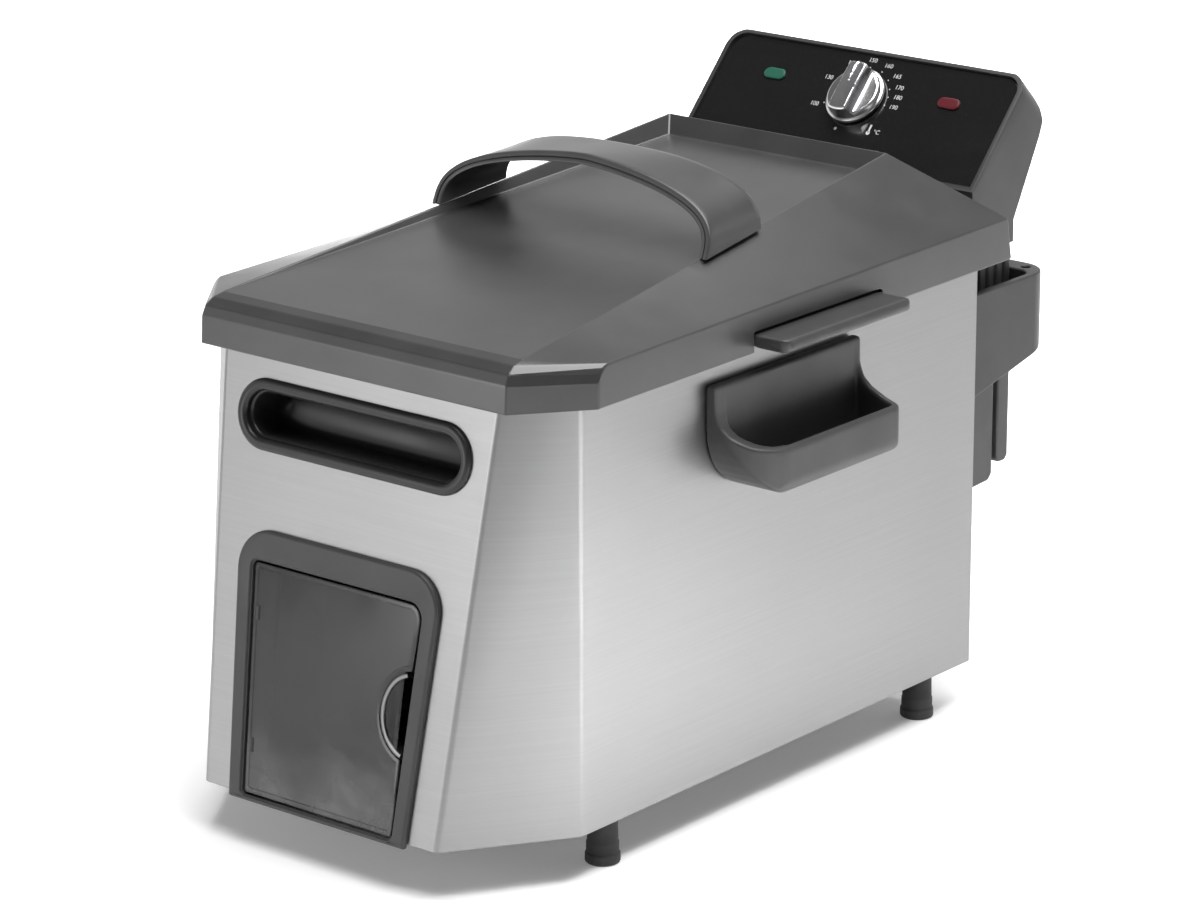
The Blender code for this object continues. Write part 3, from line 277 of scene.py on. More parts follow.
def steel(name, dark, light, rough_low, rough_high, grain):
    """Steel brushed level: long streaks around the casing, fine across them."""
    mat, tree, shader = new_material(name)
    shader.inputs["Metallic"].default_value = 1.0
    streak = noise(tree, (7.0, 7.0, 900.0), 4.0)
    fine = noise(tree, (40.0, 40.0, 5200.0), 2.0)
    cloud = noise(tree, (9.0, 9.0, 9.0), 2.0)
    tree.links.new(tint(tree, streak, dark, light), shader.inputs["Base Color"])
    mix = tree.nodes.new("ShaderNodeMath")
    mix.operation = "ADD"
    tree.links.new(spread(tree, fine, rough_low, rough_high), mix.inputs[0])
    tree.links.new(spread(tree, cloud, -0.02, 0.02), mix.inputs[1])
    tree.links.new(mix.outputs["Value"], shader.inputs["Roughness"])
    under = bump(tree, shader, streak, grain, 0.00006)
    bump(tree, shader, fine, grain, 0.00003, under)
    return mat


def smooth_metal(name, color, low, high, smudge):
    """Polished metal with faint smudges and hairlines."""
    mat, tree, shader = new_material(name)
    shader.inputs["Metallic"].default_value = 1.0
    cloud = noise(tree, (60.0, 60.0, 60.0), 4.0, 0.6, 0.4)
    hair = noise(tree, (2500.0, 120.0, 300.0), 2.0)
    darker = tuple(c * (1.0 - smudge) for c in color)
    tree.links.new(tint(tree, cloud, darker, color), shader.inputs["Base Color"])
    tree.links.new(spread(tree, cloud, low, high), shader.inputs["Roughness"])
    bump(tree, shader, hair, 0.05, 0.00002)
    return mat


def plastic(name, dark, light, low, high, grain, edge_highlight=0.25, shine=0.4):
    """Moulded plastic: a fine spark-eroded grain, slight mottling and lighter edges that are a painted highlight.
    """
    mat, tree, shader = new_material(name)
    mottle = noise(tree, (45.0, 45.0, 45.0), 4.0)
    pores = noise(tree, (2600.0, 2600.0, 2600.0), 3.0, 0.65)
    patch = noise(tree, (18.0, 18.0, 18.0), 2.0)
    color = tint(tree, mottle, dark, light)
    # Exposed edges lightened in the colour: a painted highlight
    tree.links.new(painted_edge_highlight(tree, color, edge_highlight, 0.10), shader.inputs["Base Color"])
    tree.links.new(spread(tree, patch, low, high), shader.inputs["Roughness"])
    bump(tree, shader, pores, grain, 0.00006)
    shader.inputs["Specular IOR Level"].default_value = shine
    return mat


def gloss(name, dark, light):
    """Polished black panel with dust specks and faint wipe marks."""
    mat, tree, shader = new_material(name)
    wipe = noise(tree, (14.0, 60.0, 60.0), 3.0, 0.6, 0.6)
    specks = noise(tree, (1500.0, 1500.0, 1500.0), 1.0)
    tree.links.new(tint(tree, specks, dark, light, 0.66, 0.78), shader.inputs["Base Color"])
    tree.links.new(spread(tree, wipe, 0.10, 0.19), shader.inputs["Roughness"])
    bump(tree, shader, wipe, 0.02, 0.0002)
    shader.inputs["Coat Weight"].default_value = 0.35
    shader.inputs["Coat Roughness"].default_value = 0.06
    return mat


def smoked(name):
    """Thin smoked plastic that shows a little of what lies behind it, with a painted cloudy reflection low down.
    """
    mat, tree, shader = new_material(name)
    haze_and_painted_reflection = noise(tree, (26.0, 26.0, 26.0), 4.0, 0.6, 0.9)
    place = tree.nodes.new("ShaderNodeTexCoord")
    split = tree.nodes.new("ShaderNodeSeparateXYZ")
    tree.links.new(place.outputs["Object"], split.inputs["Vector"])
    # Lighter colour in clouds low down on the door: a painted reflection; the same noise also varies roughness and
    # bump
    low = spread(tree, split.outputs["Z"], 1.0, 0.0, 0.045, 0.085)
    cloud = tree.nodes.new("ShaderNodeMath")
    cloud.operation = "MULTIPLY"
    tree.links.new(low, cloud.inputs[0])
    tree.links.new(haze_and_painted_reflection, cloud.inputs[1])
    color = tint(tree, cloud.outputs["Value"], (0.011, 0.011, 0.012), (0.115, 0.115, 0.116), 0.25, 0.75)
    tree.links.new(color, shader.inputs["Base Color"])
    tree.links.new(spread(tree, haze_and_painted_reflection, 0.10, 0.24), shader.inputs["Roughness"])
    bump(tree, shader, haze_and_painted_reflection, 0.05, 0.0006)
    shader.inputs["Alpha"].default_value = 0.88
    shader.inputs["Coat Weight"].default_value = 0.2
    shader.inputs["Coat Roughness"].default_value = 0.08
    return mat


def lens(name, dark, light):
    """Tinted lamp lens with fine ribs moulded into it."""
    mat, tree, shader = new_material(name)
    wave = add(tree, "ShaderNodeTexWave", Scale=1.0, Distortion=0.0)
    tree.links.new(coordinates(tree, (350.0, 0.0, 0.0)), wave.inputs["Vector"])
    tree.links.new(tint(tree, wave.outputs["Fac"], dark, light, 0.1, 0.9), shader.inputs["Base Color"])
    tree.links.new(spread(tree, wave.outputs["Fac"], 0.16, 0.26, 0.0, 1.0), shader.inputs["Roughness"])
    bump(tree, shader, wave.outputs["Fac"], 0.25, 0.0003)
    shader.inputs["Specular IOR Level"].default_value = 0.25
    return mat


def element(name):
    """Heater tube darkened by heat, with brown and blue tints."""
    mat, tree, shader = new_material(name)
    shader.inputs["Metallic"].default_value = 1.0
    tones = noise(tree, (28.0, 28.0, 28.0), 5.0, 0.6, 0.5)
    scale = noise(tree, (900.0, 900.0, 900.0), 3.0)
    tree.links.new(tint(tree, tones, (0.13, 0.10, 0.08), (0.30, 0.30, 0.31)), shader.inputs["Base Color"])
    tree.links.new(spread(tree, scale, 0.32, 0.52), shader.inputs["Roughness"])
    bump(tree, shader, scale, 0.2, 0.0001)
    return mat


def ink(name):
    """Printed white ink, a little uneven."""
    mat, tree, shader = new_material(name)
    cover = noise(tree, (1800.0, 1800.0, 1800.0), 2.0)
    tree.links.new(tint(tree, cover, (0.42, 0.42, 0.42), (0.66, 0.66, 0.66)), shader.inputs["Base Color"])
    tree.links.new(spread(tree, cover, 0.45, 0.6), shader.inputs["Roughness"])
    return mat


def make_materials():
    """Looks by name: one for each of the record's slots, and a few more for single pieces."""
    return {
        "brushed_steel": steel(
            "brushed_steel_look", (0.276, 0.276, 0.276), (0.292, 0.292, 0.292), 0.36, 0.44, 0.03),
        "polished_steel": smooth_metal("polished_steel_look", (0.62, 0.62, 0.63), 0.15, 0.26, 0.06),
        "bowl_steel": smooth_metal("bowl_steel_look", (0.36, 0.36, 0.37), 0.29, 0.36, 0.08),
        "chrome": smooth_metal("chrome_look", (0.80, 0.80, 0.81), 0.07, 0.12, 0.03),
        "knob_metal": smooth_metal("knob_metal_look", (0.80, 0.80, 0.81), 0.20, 0.26, 0.03),
        "pull_metal": smooth_metal("pull_metal_look", (0.20, 0.20, 0.20), 0.29, 0.36, 0.10),
        "dark_grey_plastic": plastic(
            "dark_grey_plastic_look", (0.032, 0.032, 0.033), (0.040, 0.040, 0.041), 0.40, 0.50, 0.30),
        "head_plastic": plastic(
            "head_plastic_look", (0.025, 0.025, 0.026), (0.031, 0.031, 0.032), 0.40, 0.50, 0.30),
        "arch_plastic": plastic(
            "arch_plastic_look", (0.040, 0.040, 0.041), (0.049, 0.049, 0.050), 0.29, 0.35, 0.28, 0.25, 0.5),
        "recess_plastic": plastic(
            "recess_plastic_look", (0.011, 0.011, 0.011), (0.016, 0.016, 0.016), 0.30, 0.40, 0.25),
        "lid_plastic": plastic(
            "lid_plastic_look", (0.027, 0.027, 0.028), (0.033, 0.033, 0.034), 0.29, 0.35, 0.28, 0.25, 0.75),
        "black_plastic": plastic(
            "black_plastic_look", (0.012, 0.012, 0.012), (0.020, 0.020, 0.020), 0.38, 0.55, 0.35),
        "gloss_black": gloss("gloss_black_look", (0.007, 0.007, 0.007), (0.030, 0.030, 0.030)),
        "smoked_plastic": smoked("smoked_plastic_look"),
        "rubber": plastic("rubber_look", (0.018, 0.018, 0.018), (0.030, 0.030, 0.030), 0.60, 0.78, 0.45, 0.4),
        "element_tube": element("element_tube_look"),
        "green_lens": lens("green_lens_look", (0.010, 0.068, 0.042), (0.030, 0.125, 0.082)),
        "red_lens": lens("red_lens_look", (0.062, 0.006, 0.010), (0.120, 0.018, 0.024)),
        "print": ink("print_look"),
    }


# ---------------------------------------------------------------- mesh helpers

def link(name, mesh, mat):
    obj = bpy.data.objects.new(name, mesh)
    bpy.context.scene.collection.objects.link(obj)
    mesh.materials.clear()
    mesh.materials.append(mat)
    return obj


def from_bmesh(name, bm, mat, smooth=True):
    bmesh.ops.recalc_face_normals(bm, faces=bm.faces)
    mesh = bpy.data.meshes.new(name)
    bm.to_mesh(mesh)
    bm.free()
    if smooth:
        mesh.shade_smooth()
    return link(name, mesh, mat)


def soften(obj, width, angle):
    """Round the edges, then let the large faces set the shading."""
    bevel = obj.modifiers.new("edges", "BEVEL")
    bevel.width = width * MM
    bevel.segments = 3
    bevel.limit_method = "ANGLE"
    bevel.angle_limit = math.radians(angle)
    bevel.use_clamp_overlap = False
    bevel.miter_outer = "MITER_ARC"
    normals = obj.modifiers.new("shading", "WEIGHTED_NORMAL")
    normals.weight = 60
    normals.keep_sharp = False


def stand_for(obj, node):
    """The piece rides where its CAD node does, and is shown in its place."""
    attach(obj, BODY_OF[node])
    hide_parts(node)
    return obj


def clean_copy(node):
    """The node's surface as welded polygons, with flat regions merged."""
    source = frame["nodes"][node].data
    bm = bmesh.new()
    verts = [bm.verts.new(v.co) for v in source.vertices]
    for polygon in source.polygons:
        bm.faces.new([verts[i] for i in polygon.vertices])
    bmesh.ops.remove_doubles(bm, verts=bm.verts, dist=0.000004)
    bmesh.ops.dissolve_degenerate(bm, edges=bm.edges, dist=0.000004)
    bmesh.ops.dissolve_limit(bm, angle_limit=math.radians(0.5), verts=bm.verts, edges=bm.edges)
    return bm


def refined(node, looks):
    """The node's shape with rounded edges and smooth shading."""
    width, angle = EDGES.get(node, EDGE)
    obj = from_bmesh(node + "_piece", clean_copy(node), looks[LOOK_OF.get(node, SLOT_OF[node])])
    soften(obj, width, angle)
    return stand_for(obj, node)


def skin(bm, rows, wrap=False):
    """Quads between closed rows of points; wrap also joins the last row to the first."""
    made = [[bm.verts.new(p) for p in row] for row in rows]
    pairs = list(zip(made, made[1:]))
    if wrap:
        pairs.append((made[-1], made[0]))
    count = len(made[0])
    for low, high in pairs:
        for i in range(count):
            j = (i + 1) % count
            bm.faces.new((low[i], low[j], high[j], high[i]))
    return made


def wire(bm, path, radius, sides=6, closed=False):
    """Round wire along a path, added to a mesh."""
    count = len(path)
    rows = []
    side = None
    for i, point in enumerate(path):
        before = path[(i - 1) % count] if closed or i > 0 else path[0]
        after = path[(i + 1) % count] if closed or i < count - 1 else path[-1]
        along = (after - before).normalized()
        if side is None:
            side = along.orthogonal()
        side = (side - along * side.dot(along)).normalized()
        other = along.cross(side)
        ring = []
        for k in range(sides):
            turn = 2.0 * math.pi * k / sides
            ring.append(point + side * (radius * math.cos(turn)) + other * (radius * math.sin(turn)))
        rows.append(ring)
    made = skin(bm, rows, wrap=closed)
    if not closed:
        bm.faces.new(made[0][::-1])
        bm.faces.new(made[-1])


def fillet(corners, radii, steps=10):
    """Closed outline through 2-D corners, each rounded by its own radius."""
    out = []
    total = len(corners)
    for i, corner in enumerate(corners):
        p = Vector(corner)
        a = (Vector(corners[i - 1]) - p).normalized()
        b = (Vector(corners[(i + 1) % total]) - p).normalized()
        half = a.angle(b) / 2.0
        reach = radii[i] / math.tan(half)
        centre = p + (a + b).normalized() * (radii[i] / math.sin(half))
        start = p + a * reach - centre
        end = p + b * reach - centre
        sweep = start.angle(end)
        for k in range(steps + 1):
            t = k / steps
            low = math.sin((1.0 - t) * sweep) / math.sin(sweep)
            high = math.sin(t * sweep) / math.sin(sweep)
            out.append(tuple(centre + start * low + end * high))
    return out


def shrink(corners, amount):
    """Move every side of a closed counter-clockwise outline inwards."""
    out = []
    total = len(corners)
    for i in range(total):
        p = Vector(corners[i])
        a = (p - Vector(corners[i - 1])).normalized()
        b = (Vector(corners[(i + 1) % total]) - p).normalized()
        na = Vector((-a.y, a.x))
        nb = Vector((-b.y, b.x))
        out.append(tuple(p + (na + nb) * (amount / (1.0 + na.dot(nb)))))
    return out


def panel_point(u, v, w):
    """World place of a point on the leaning front panel."""
    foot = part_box("outer_casing")[0]
    length = math.hypot(PANEL_RUN, PANEL_RISE)
    sy = PANEL_RUN / length
    sz = PANEL_RISE / length
    return Vector((u * MM, foot.y + (v * sy - w * sz) * MM, foot.z + (v * sz + w * sy) * MM))


def on_panel(loop, w):
    return [panel_point(u, v, w) for u, v in loop]


def moulded(node, looks):
    """The node's shape with the soft edges of a moulding."""
    source = from_bmesh("source", clean_copy(node), looks[SLOT_OF[node]])
    skin_over = source.modifiers.new("skin", "REMESH")
    skin_over.mode = "VOXEL"
    skin_over.voxel_size = GRIP_VOXEL * MM
    ease = source.modifiers.new("ease", "SMOOTH")
    ease.factor = 0.5
    ease.iterations = GRIP_PASSES
    graph = bpy.context.evaluated_depsgraph_get()
    mesh = bpy.data.meshes.new_from_object(source.evaluated_get(graph))
    bpy.data.objects.remove(source, do_unlink=True)
    mesh.shade_smooth()
    return stand_for(link(node + "_piece", mesh, looks[SLOT_OF[node]]), node)


# ---------------------------------------------------------------- front panel pieces

def stadium(inset, steps=20):
    half_w = CUP_HALF_W - inset
    half_h = CUP_HALF_H - inset
    loop = []
    for side in (1.0, -1.0):
        for k in range(steps + 1):
            angle = math.pi * (k / steps - 0.5)
            if side < 0.0:
                angle += math.pi
            cx = side * (half_w - half_h)
            loop.append((cx + half_h * math.cos(angle), CUP_MIDDLE + half_h * math.sin(angle)))
    return loop


def build_cup(looks):
    """Finger recess: a half-round rim, a short throat and a pocket that narrows inwards."""
    rows = [
        on_panel(stadium(CUP_BACK_INSET), -CUP_DEPTH),
        on_panel(stadium(CUP_THROAT_INSET), CUP_THROAT),
        on_panel(stadium(CUP_THROAT_INSET), CUP_FOOT),
    ]
    half = CUP_RIM / 2.0
    for k in range(15):
        angle = math.pi * k / 14.0
        rise = (CUP_PROUD - CUP_FOOT) * math.sin(angle) ** 0.8
        rows.append(on_panel(stadium(half * (1.0 - math.cos(angle))), CUP_FOOT + rise))
    for extra, w in CUP_BEHIND:
        rows.append(on_panel(stadium(CUP_RIM + extra), w))
    bm = bmesh.new()
    made = skin(bm, rows)
    bm.faces.new(made[0])
    bm.faces.new(made[-1][::-1])
    obj = from_bmesh("front_handle_cup_piece", bm, looks["recess_plastic"])
    obj.data.set_sharp_from_angle(angle=math.radians(44.0))
    return stand_for(obj, "front_handle_cup")


def bezel_loop(inset, w, low=None):
    corners = shrink(BEZEL_CORNERS, inset)
    if low is not None:
        corners[0] = (corners[0][0], low)
        corners[3] = (corners[3][0], low)
    radii = [max(SMALLEST_RADIUS, r - inset) for r in BEZEL_RADII]
    return on_panel(fillet(corners, radii), w)


def door_loop(inset, w):
    radii = [max(SMALLEST_RADIUS, r - inset) for r in DOOR_RADII]
    return on_panel(fillet(shrink(DOOR_CORNERS, inset), radii), w)


def build_bezel(looks):
    """Door frame with a crowned face and a stepped mouth."""
    rows = [
        bezel_loop(BEZEL_SKIRT, BEZEL_BACK, BEZEL_SKIRT_LOW),
        bezel_loop(BEZEL_SKIRT, BEZEL_FOOT, BEZEL_SKIRT_LOW),
        bezel_loop(0.0, BEZEL_FOOT),
        bezel_loop(0.0, BEZEL_SHOULDER),
    ]
    for k in range(1, 7):
        angle = math.pi / 2.0 * k / 6.0
        rise = (BEZEL_PROUD - BEZEL_SHOULDER) * math.sin(angle)
        rows.append(bezel_loop(BEZEL_ROUND * (1.0 - math.cos(angle)), BEZEL_SHOULDER + rise))
    wide, deep = BEZEL_MOUTH_ROUND
    for k in range(5):
        angle = math.pi / 2.0 * k / 4.0
        drop = deep * (1.0 - math.cos(angle))
        rows.append(door_loop(-BEZEL_ROUND + wide * math.sin(angle), BEZEL_PROUD - drop))
    rows.append(door_loop(BEZEL_MOUTH, BEZEL_PROUD - BEZEL_STEP))
    rows.append(door_loop(BEZEL_MOUTH, BEZEL_BACK))
    bm = bmesh.new()
    skin(bm, rows, wrap=True)
    obj = from_bmesh("drain_bezel_piece", bm, looks["dark_grey_plastic"])
    obj.data.set_sharp_from_angle(angle=math.radians(40.0))
    return stand_for(obj, "drain_bezel")


def door_outline(inset):
    """Door with a D-shaped notch in its free edge."""
    radii = [max(SMALLEST_RADIUS, r - inset) for r in DOOR_RADII]
    outline = fillet(shrink(DOOR_CORNERS, inset), radii)
    # The notch's two ends turn with the inset, so that every row has as many points
    start = 1.5 * math.pi - NOTCH_START[0] - NOTCH_START[1] * inset
    end = 0.5 * math.pi + NOTCH_END[0] + NOTCH_END[1] * inset
    notch = []
    for k in range(NOTCH_STEPS + 1):
        angle = start + (end - start) * k / float(NOTCH_STEPS)
        u = NOTCH_AT[0] + (NOTCH_HALF[0] + inset) * math.cos(angle)
        v = NOTCH_AT[1] + (NOTCH_HALF[1] + inset) * math.sin(angle)
        notch.append((u, v))
    split = len(outline) // 4
    return outline[:split] + notch + outline[split:]


def build_door(looks):
    """Smoked door with eased edges and a raised border, and its two hinge knuckles."""
    back = DOOR_FACE - DOOR_THICK
    bm = bmesh.new()
    rows = []
    for inset, w in ((0.55, back), (0.15, back + 0.15), (0.0, back + 0.55), (0.0, DOOR_FACE - 0.6),
                     (0.15, DOOR_FACE - 0.2), (0.6, DOOR_FACE), (2.6, DOOR_FACE), (3.0, DOOR_FACE - 0.35)):
        rows.append(on_panel(door_outline(inset + DOOR_GAP), w))
    made = skin(bm, rows)
    bm.faces.new(made[0][::-1])
    bm.faces.new(made[-1])
    bmesh.ops.triangulate(bm, faces=[f for f in bm.faces if len(f.verts) > 4])
    door = from_bmesh("drain_door_piece", bm, looks["smoked_plastic"])
    door.data.set_sharp_from_angle(angle=math.radians(35.0))
    stand_for(door, "drain_door")
    bm = bmesh.new()
    low, high = DOOR_CORNERS[3], DOOR_CORNERS[2]
    for v in HINGE_HEIGHTS:
        u = low[0] + (high[0] - low[0]) * (v - low[1]) / (high[1] - low[1]) + HINGE_IN
        bottom = panel_point(u, v - HINGE_HALF, DOOR_FACE - 0.5)
        top = panel_point(u - HINGE_LEAN, v + HINGE_HALF, DOOR_FACE - 0.5)
        wire(bm, [bottom, top], HINGE_RADIUS * MM, 14)
    knuckles = from_bmesh("door_knuckles", bm, looks["black_plastic"])
    knuckles.data.set_sharp_from_angle(angle=math.radians(40.0))
    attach(knuckles, BODY_OF["drain_door"])
    return door


def build_pull(looks):
    """Metal half ring that lines the notch, with a rolled outer edge."""
    bm = bmesh.new()
    rows = []
    section = [
        (-0.3, PULL_BACK), (-0.3, DOOR_FACE), (-0.5, DOOR_FACE + 0.4), (-1.0, DOOR_FACE + 0.6),
        (-1.9, DOOR_FACE + 0.6), (-2.4, DOOR_FACE + 0.4), (-2.6, DOOR_FACE), (-2.6, PULL_BACK),
    ]
    for k in range(PULL_STEPS + 1):
        angle = math.pi * (0.58 + 0.84 * k / float(PULL_STEPS))
        ring = []
        for grow, w in section:
            u = NOTCH_AT[0] + (NOTCH_HALF[0] + grow) * math.cos(angle)
            v = NOTCH_AT[1] + (NOTCH_HALF[1] + grow) * math.sin(angle)
            ring.append(panel_point(u, v, w))
        rows.append(ring)
    made = skin(bm, rows)
    bm.faces.new(made[0][::-1])
    bm.faces.new(made[-1])
    obj = from_bmesh("door_pull_piece", bm, looks["pull_metal"])
    obj.data.set_sharp_from_angle(angle=math.radians(38.0))
    return stand_for(obj, "door_pull")


# ---------------------------------------------------------------- arch handle

def build_arch(looks):
    """Broad arch: a crowned shell with a rolled front edge over a thinner liner."""
    low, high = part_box("lid_handle")
    half_front = high.x / MM
    front_y = low.y / MM
    foot = low.z / MM

    def at(t, share, depth):
        """Point t of the way across, at a share of the way to the rear, under the outer skin by depth."""
        half = half_front - ARCH_REAR_DRAW * share - ARCH_THICK * depth
        rise = ARCH_RISE - ARCH_REAR_DROP * share - ARCH_THICK * depth
        c = math.cos(math.pi * t)
        s = math.sin(math.pi * t)
        x = half * math.copysign(abs(c) ** (1.40 - 0.62 * share), c)
        lift = rise * abs(s) ** (0.64 + 0.18 * share)
        y = front_y + ARCH_DEPTH * share + ARCH_LEAN * (1.0 - share) * lift
        return Vector((x * MM, y * MM, (foot + ARCH_REAR_LIFT * share + lift) * MM))

    section = [(0.030, 0.0)] + [(0.1 * k, 0.0) for k in range(1, 10)]
    section += [(0.965, 0.0), (0.985, 0.10), (0.992, 0.30), (0.992, 0.80), (0.980, 0.97), (0.95, 1.0)]
    section += [(0.1 * k, 1.0) for k in range(9, 0, -1)]
    section += [(0.030, 1.0), (0.018, 0.96), (0.012, 0.86), (0.012, 0.62), (0.026, 0.58), (0.026, 0.50)]
    section += [(0.006, 0.46), (0.004, 0.22), (0.008, 0.10), (0.016, 0.03)]
    bm = bmesh.new()
    rows = [[at(k / ARCH_STEPS, share, depth) for share, depth in section] for k in range(ARCH_STEPS + 1)]
    made = skin(bm, rows)
    bm.faces.new(made[0][::-1])
    bm.faces.new(made[-1])
    obj = from_bmesh("lid_handle_piece", bm, looks["arch_plastic"])
    obj.data.set_sharp_from_angle(angle=math.radians(50.0))
    return stand_for(obj, "lid_handle")


# ---------------------------------------------------------------- control head

def build_housing(looks):
    """Head housing with a rounded front rim, kept inside the node's box."""
    up, out, centre = dial_frame()[1:]
    bm = clean_copy("control_housing")
    bmesh.ops.recalc_face_normals(bm, faces=bm.faces)
    # Edges between the front face and the sides, near the outline
    rim = []
    for edge in bm.edges:
        if len(edge.link_faces) != 2:
            continue
        slopes = sorted(face.normal.dot(out) for face in edge.link_faces)
        middle = (edge.verts[0].co + edge.verts[1].co) / 2.0 - centre
        outside = abs(middle.x) > RIM_ACROSS * MM or middle.dot(up) > RIM_UP * MM
        if slopes[0] < 0.5 and slopes[1] > 0.9 and outside:
            rim.append(edge)
    bmesh.ops.bevel(
        bm, geom=rim, offset=RIM_ROUND * MM, segments=4, profile=0.5, affect="EDGES", clamp_overlap=True)
    low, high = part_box("control_housing")
    for vert in bm.verts:
        vert.co = Vector([min(max(vert.co[i], low[i]), high[i]) for i in range(3)])
    # A cut through the faces behind the rim, which keeps the rim's shading off the rest of the sides
    parts = list(bm.verts) + list(bm.edges) + list(bm.faces)
    behind = centre - out * (RIM_CUT * MM)
    bmesh.ops.bisect_plane(bm, geom=parts, dist=0.000001, plane_co=behind, plane_no=out)
    obj = from_bmesh("control_housing_piece", bm, looks["head_plastic"])
    obj.data.set_sharp_from_angle(angle=math.radians(32.0))
    return stand_for(obj, "control_housing")


# ---------------------------------------------------------------- dial

def dial_frame():
    """Across, up the fascia's slope and outwards, and the dial's centre on the fascia."""
    joint = JOINTS["knob_turn"]
    out = -Vector(joint["axis"]).normalized()
    across = Vector((1.0, 0.0, 0.0))
    up = out.cross(across)
    return across, up, out, Vector(joint["pos_m"])


def dial_height(u, v):
    """Height of the dial's top: a raised bar between two dished halves."""
    rise = min(max((DIAL_BAR_HALF + DIAL_BAR_EASE - abs(u)) / DIAL_BAR_EASE, 0.0), 1.0)
    rise = rise * rise * (3.0 - 2.0 * rise)
    dish = DIAL_DISH - DIAL_DISH_DROP * min(1.0, (abs(u) / DIAL_RADIUS) * 1.4)
    top = DIAL_HEIGHT - DIAL_CROWN * (v / DIAL_RADIUS) ** 2
    if abs(u) < DIAL_LINE_HALF and v > DIAL_LINE_START:
        top -= DIAL_LINE_DEPTH
    return dish + (top - dish) * rise


def build_dial(looks):
    """Round dial with a raised bar, a rounded shoulder and a thin flange."""
    across, up, out, centre = dial_frame()
    body = DIAL_RADIUS - DIAL_FLANGE

    def at(radius, angle, height):
        u = radius * math.cos(angle)
        v = radius * math.sin(angle)
        return centre + (across * u + up * v + out * height) * MM

    bm = bmesh.new()
    rows = []
    for ring in range(1, DIAL_RINGS + 1):
        radius = body * (ring / float(DIAL_RINGS))
        row = []
        for k in range(DIAL_TURNS):
            angle = 2.0 * math.pi * k / DIAL_TURNS
            height = dial_height(radius * math.cos(angle), radius * math.sin(angle))
            if radius > body - DIAL_ROUND:
                height -= DIAL_ROUND_DROP * (1.0 - (body - radius) / DIAL_ROUND)
            row.append(at(radius, angle, height))
        rows.append(row)
    flange = [
        (body + 0.35, 3.4), (body + 0.6, 2.9), (DIAL_RADIUS - 0.35, 2.6), (DIAL_RADIUS - 0.05, 2.2),
        (DIAL_RADIUS, 1.6), (DIAL_RADIUS - 0.1, 0.6), (DIAL_RADIUS - 0.6, 0.1),
    ]
    for radius, height in flange:
        rows.append([at(radius, 2.0 * math.pi * k / DIAL_TURNS, height) for k in range(DIAL_TURNS)])
    made = skin(bm, rows)
    peak = bm.verts.new(at(0.0, 0.0, dial_height(0.0, 0.0)))
    for k in range(DIAL_TURNS):
        bm.faces.new((peak, made[0][k], made[0][(k + 1) % DIAL_TURNS]))
    bm.faces.new(made[-1][::-1])
    obj = from_bmesh("thermostat_knob_piece", bm, looks["knob_metal"])
    obj.data.set_sharp_from_angle(angle=math.radians(50.0))
    return stand_for(obj, "thermostat_knob")


def text_mesh(body, size):
    curve = bpy.data.curves.new("mark", "FONT")
    curve.body = body
    curve.size = size * MM
    curve.align_x = "CENTER"
    curve.align_y = "CENTER"
    curve.extrude = 0.02 * MM
    holder = bpy.data.objects.new("mark", curve)
    bpy.context.scene.collection.objects.link(holder)
    bpy.context.view_layer.update()
    mesh = bpy.data.meshes.new_from_object(holder)
    bpy.data.objects.remove(holder, do_unlink=True)
    return mesh


def build_print(looks):
    """Generic temperature numbers, ticks, an off dot and a small thermometer round the dial."""
    across, up, out, centre = dial_frame()
    turn = Matrix((across, up, out)).transposed().to_4x4()
    bm = bmesh.new()

    def place(u, v, w=0.0):
        return centre + (across * u + up * v + out * (PRINT_LEVEL + w)) * MM

    def stamp(mesh, u, v):
        mesh.transform(Matrix.Translation(place(u, v)) @ turn)
        bm.from_mesh(mesh)

    def bar(at, half):
        made = bmesh.ops.create_cube(bm, size=1.0)
        for vert in made["verts"]:
            u = at[0] + vert.co.x * 2.0 * half[0]
            v = at[1] + vert.co.y * 2.0 * half[1]
            vert.co = place(u, v, vert.co.z * PRINT_THICK)

    def dot(at, radius):
        made = bmesh.ops.create_cone(
            bm, cap_ends=True, segments=20, radius1=radius, radius2=radius, depth=PRINT_THICK)
        for vert in made["verts"]:
            vert.co = place(at[0] + vert.co.x, at[1] + vert.co.y, vert.co.z)

    for angle, label in SCALE_MARKS:
        c = math.cos(math.radians(angle))
        s = math.sin(math.radians(angle))
        stamp(text_mesh(label, PRINT_SIZE), SCALE_RADIUS * c * SCALE_WIDEN, SCALE_RADIUS * s)
        dot((TICK_RADIUS * c, TICK_RADIUS * s), TICK_DOT)
    dot(OFF_AT, OFF_DOT)
    bar(STEM_AT, STEM_HALF)
    dot(BULB_AT, BULB_DOT)
    stamp(text_mesh("°C", PRINT_SIZE), *UNIT_AT)
    bmesh.ops.remove_doubles(bm, verts=bm.verts, dist=0.0000005)
    obj = from_bmesh("dial_scale", bm, looks["print"], False)
    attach(obj, BODY_OF["fascia"])
    return obj


# ---------------------------------------------------------------- basket

def rounded_plan(half, front, back, chamfer, radius, height, steps=5):
    """Level closed path with two cut front corners, every corner rounded."""
    corners = [
        (half, back), (-half, back), (-half, front + chamfer * 0.8),
        (-half + chamfer, front), (half - chamfer, front), (half, front + chamfer * 0.8),
    ]
    path = []
    total = len(corners)
    for i, corner in enumerate(corners):
        p = Vector(corner)
        a = (Vector(corners[i - 1]) - p).normalized()
        b = (Vector(corners[(i + 1) % total]) - p).normalized()
        reach = radius / math.tan(a.angle(b) / 2.0)
        for k in range(steps + 1):
            t = k / steps
            q = (p + a * reach) * (1 - t) ** 2 + p * (2 * t * (1 - t)) + (p + b * reach) * t ** 2
            path.append(Vector((q.x, q.y, height)))
    return path


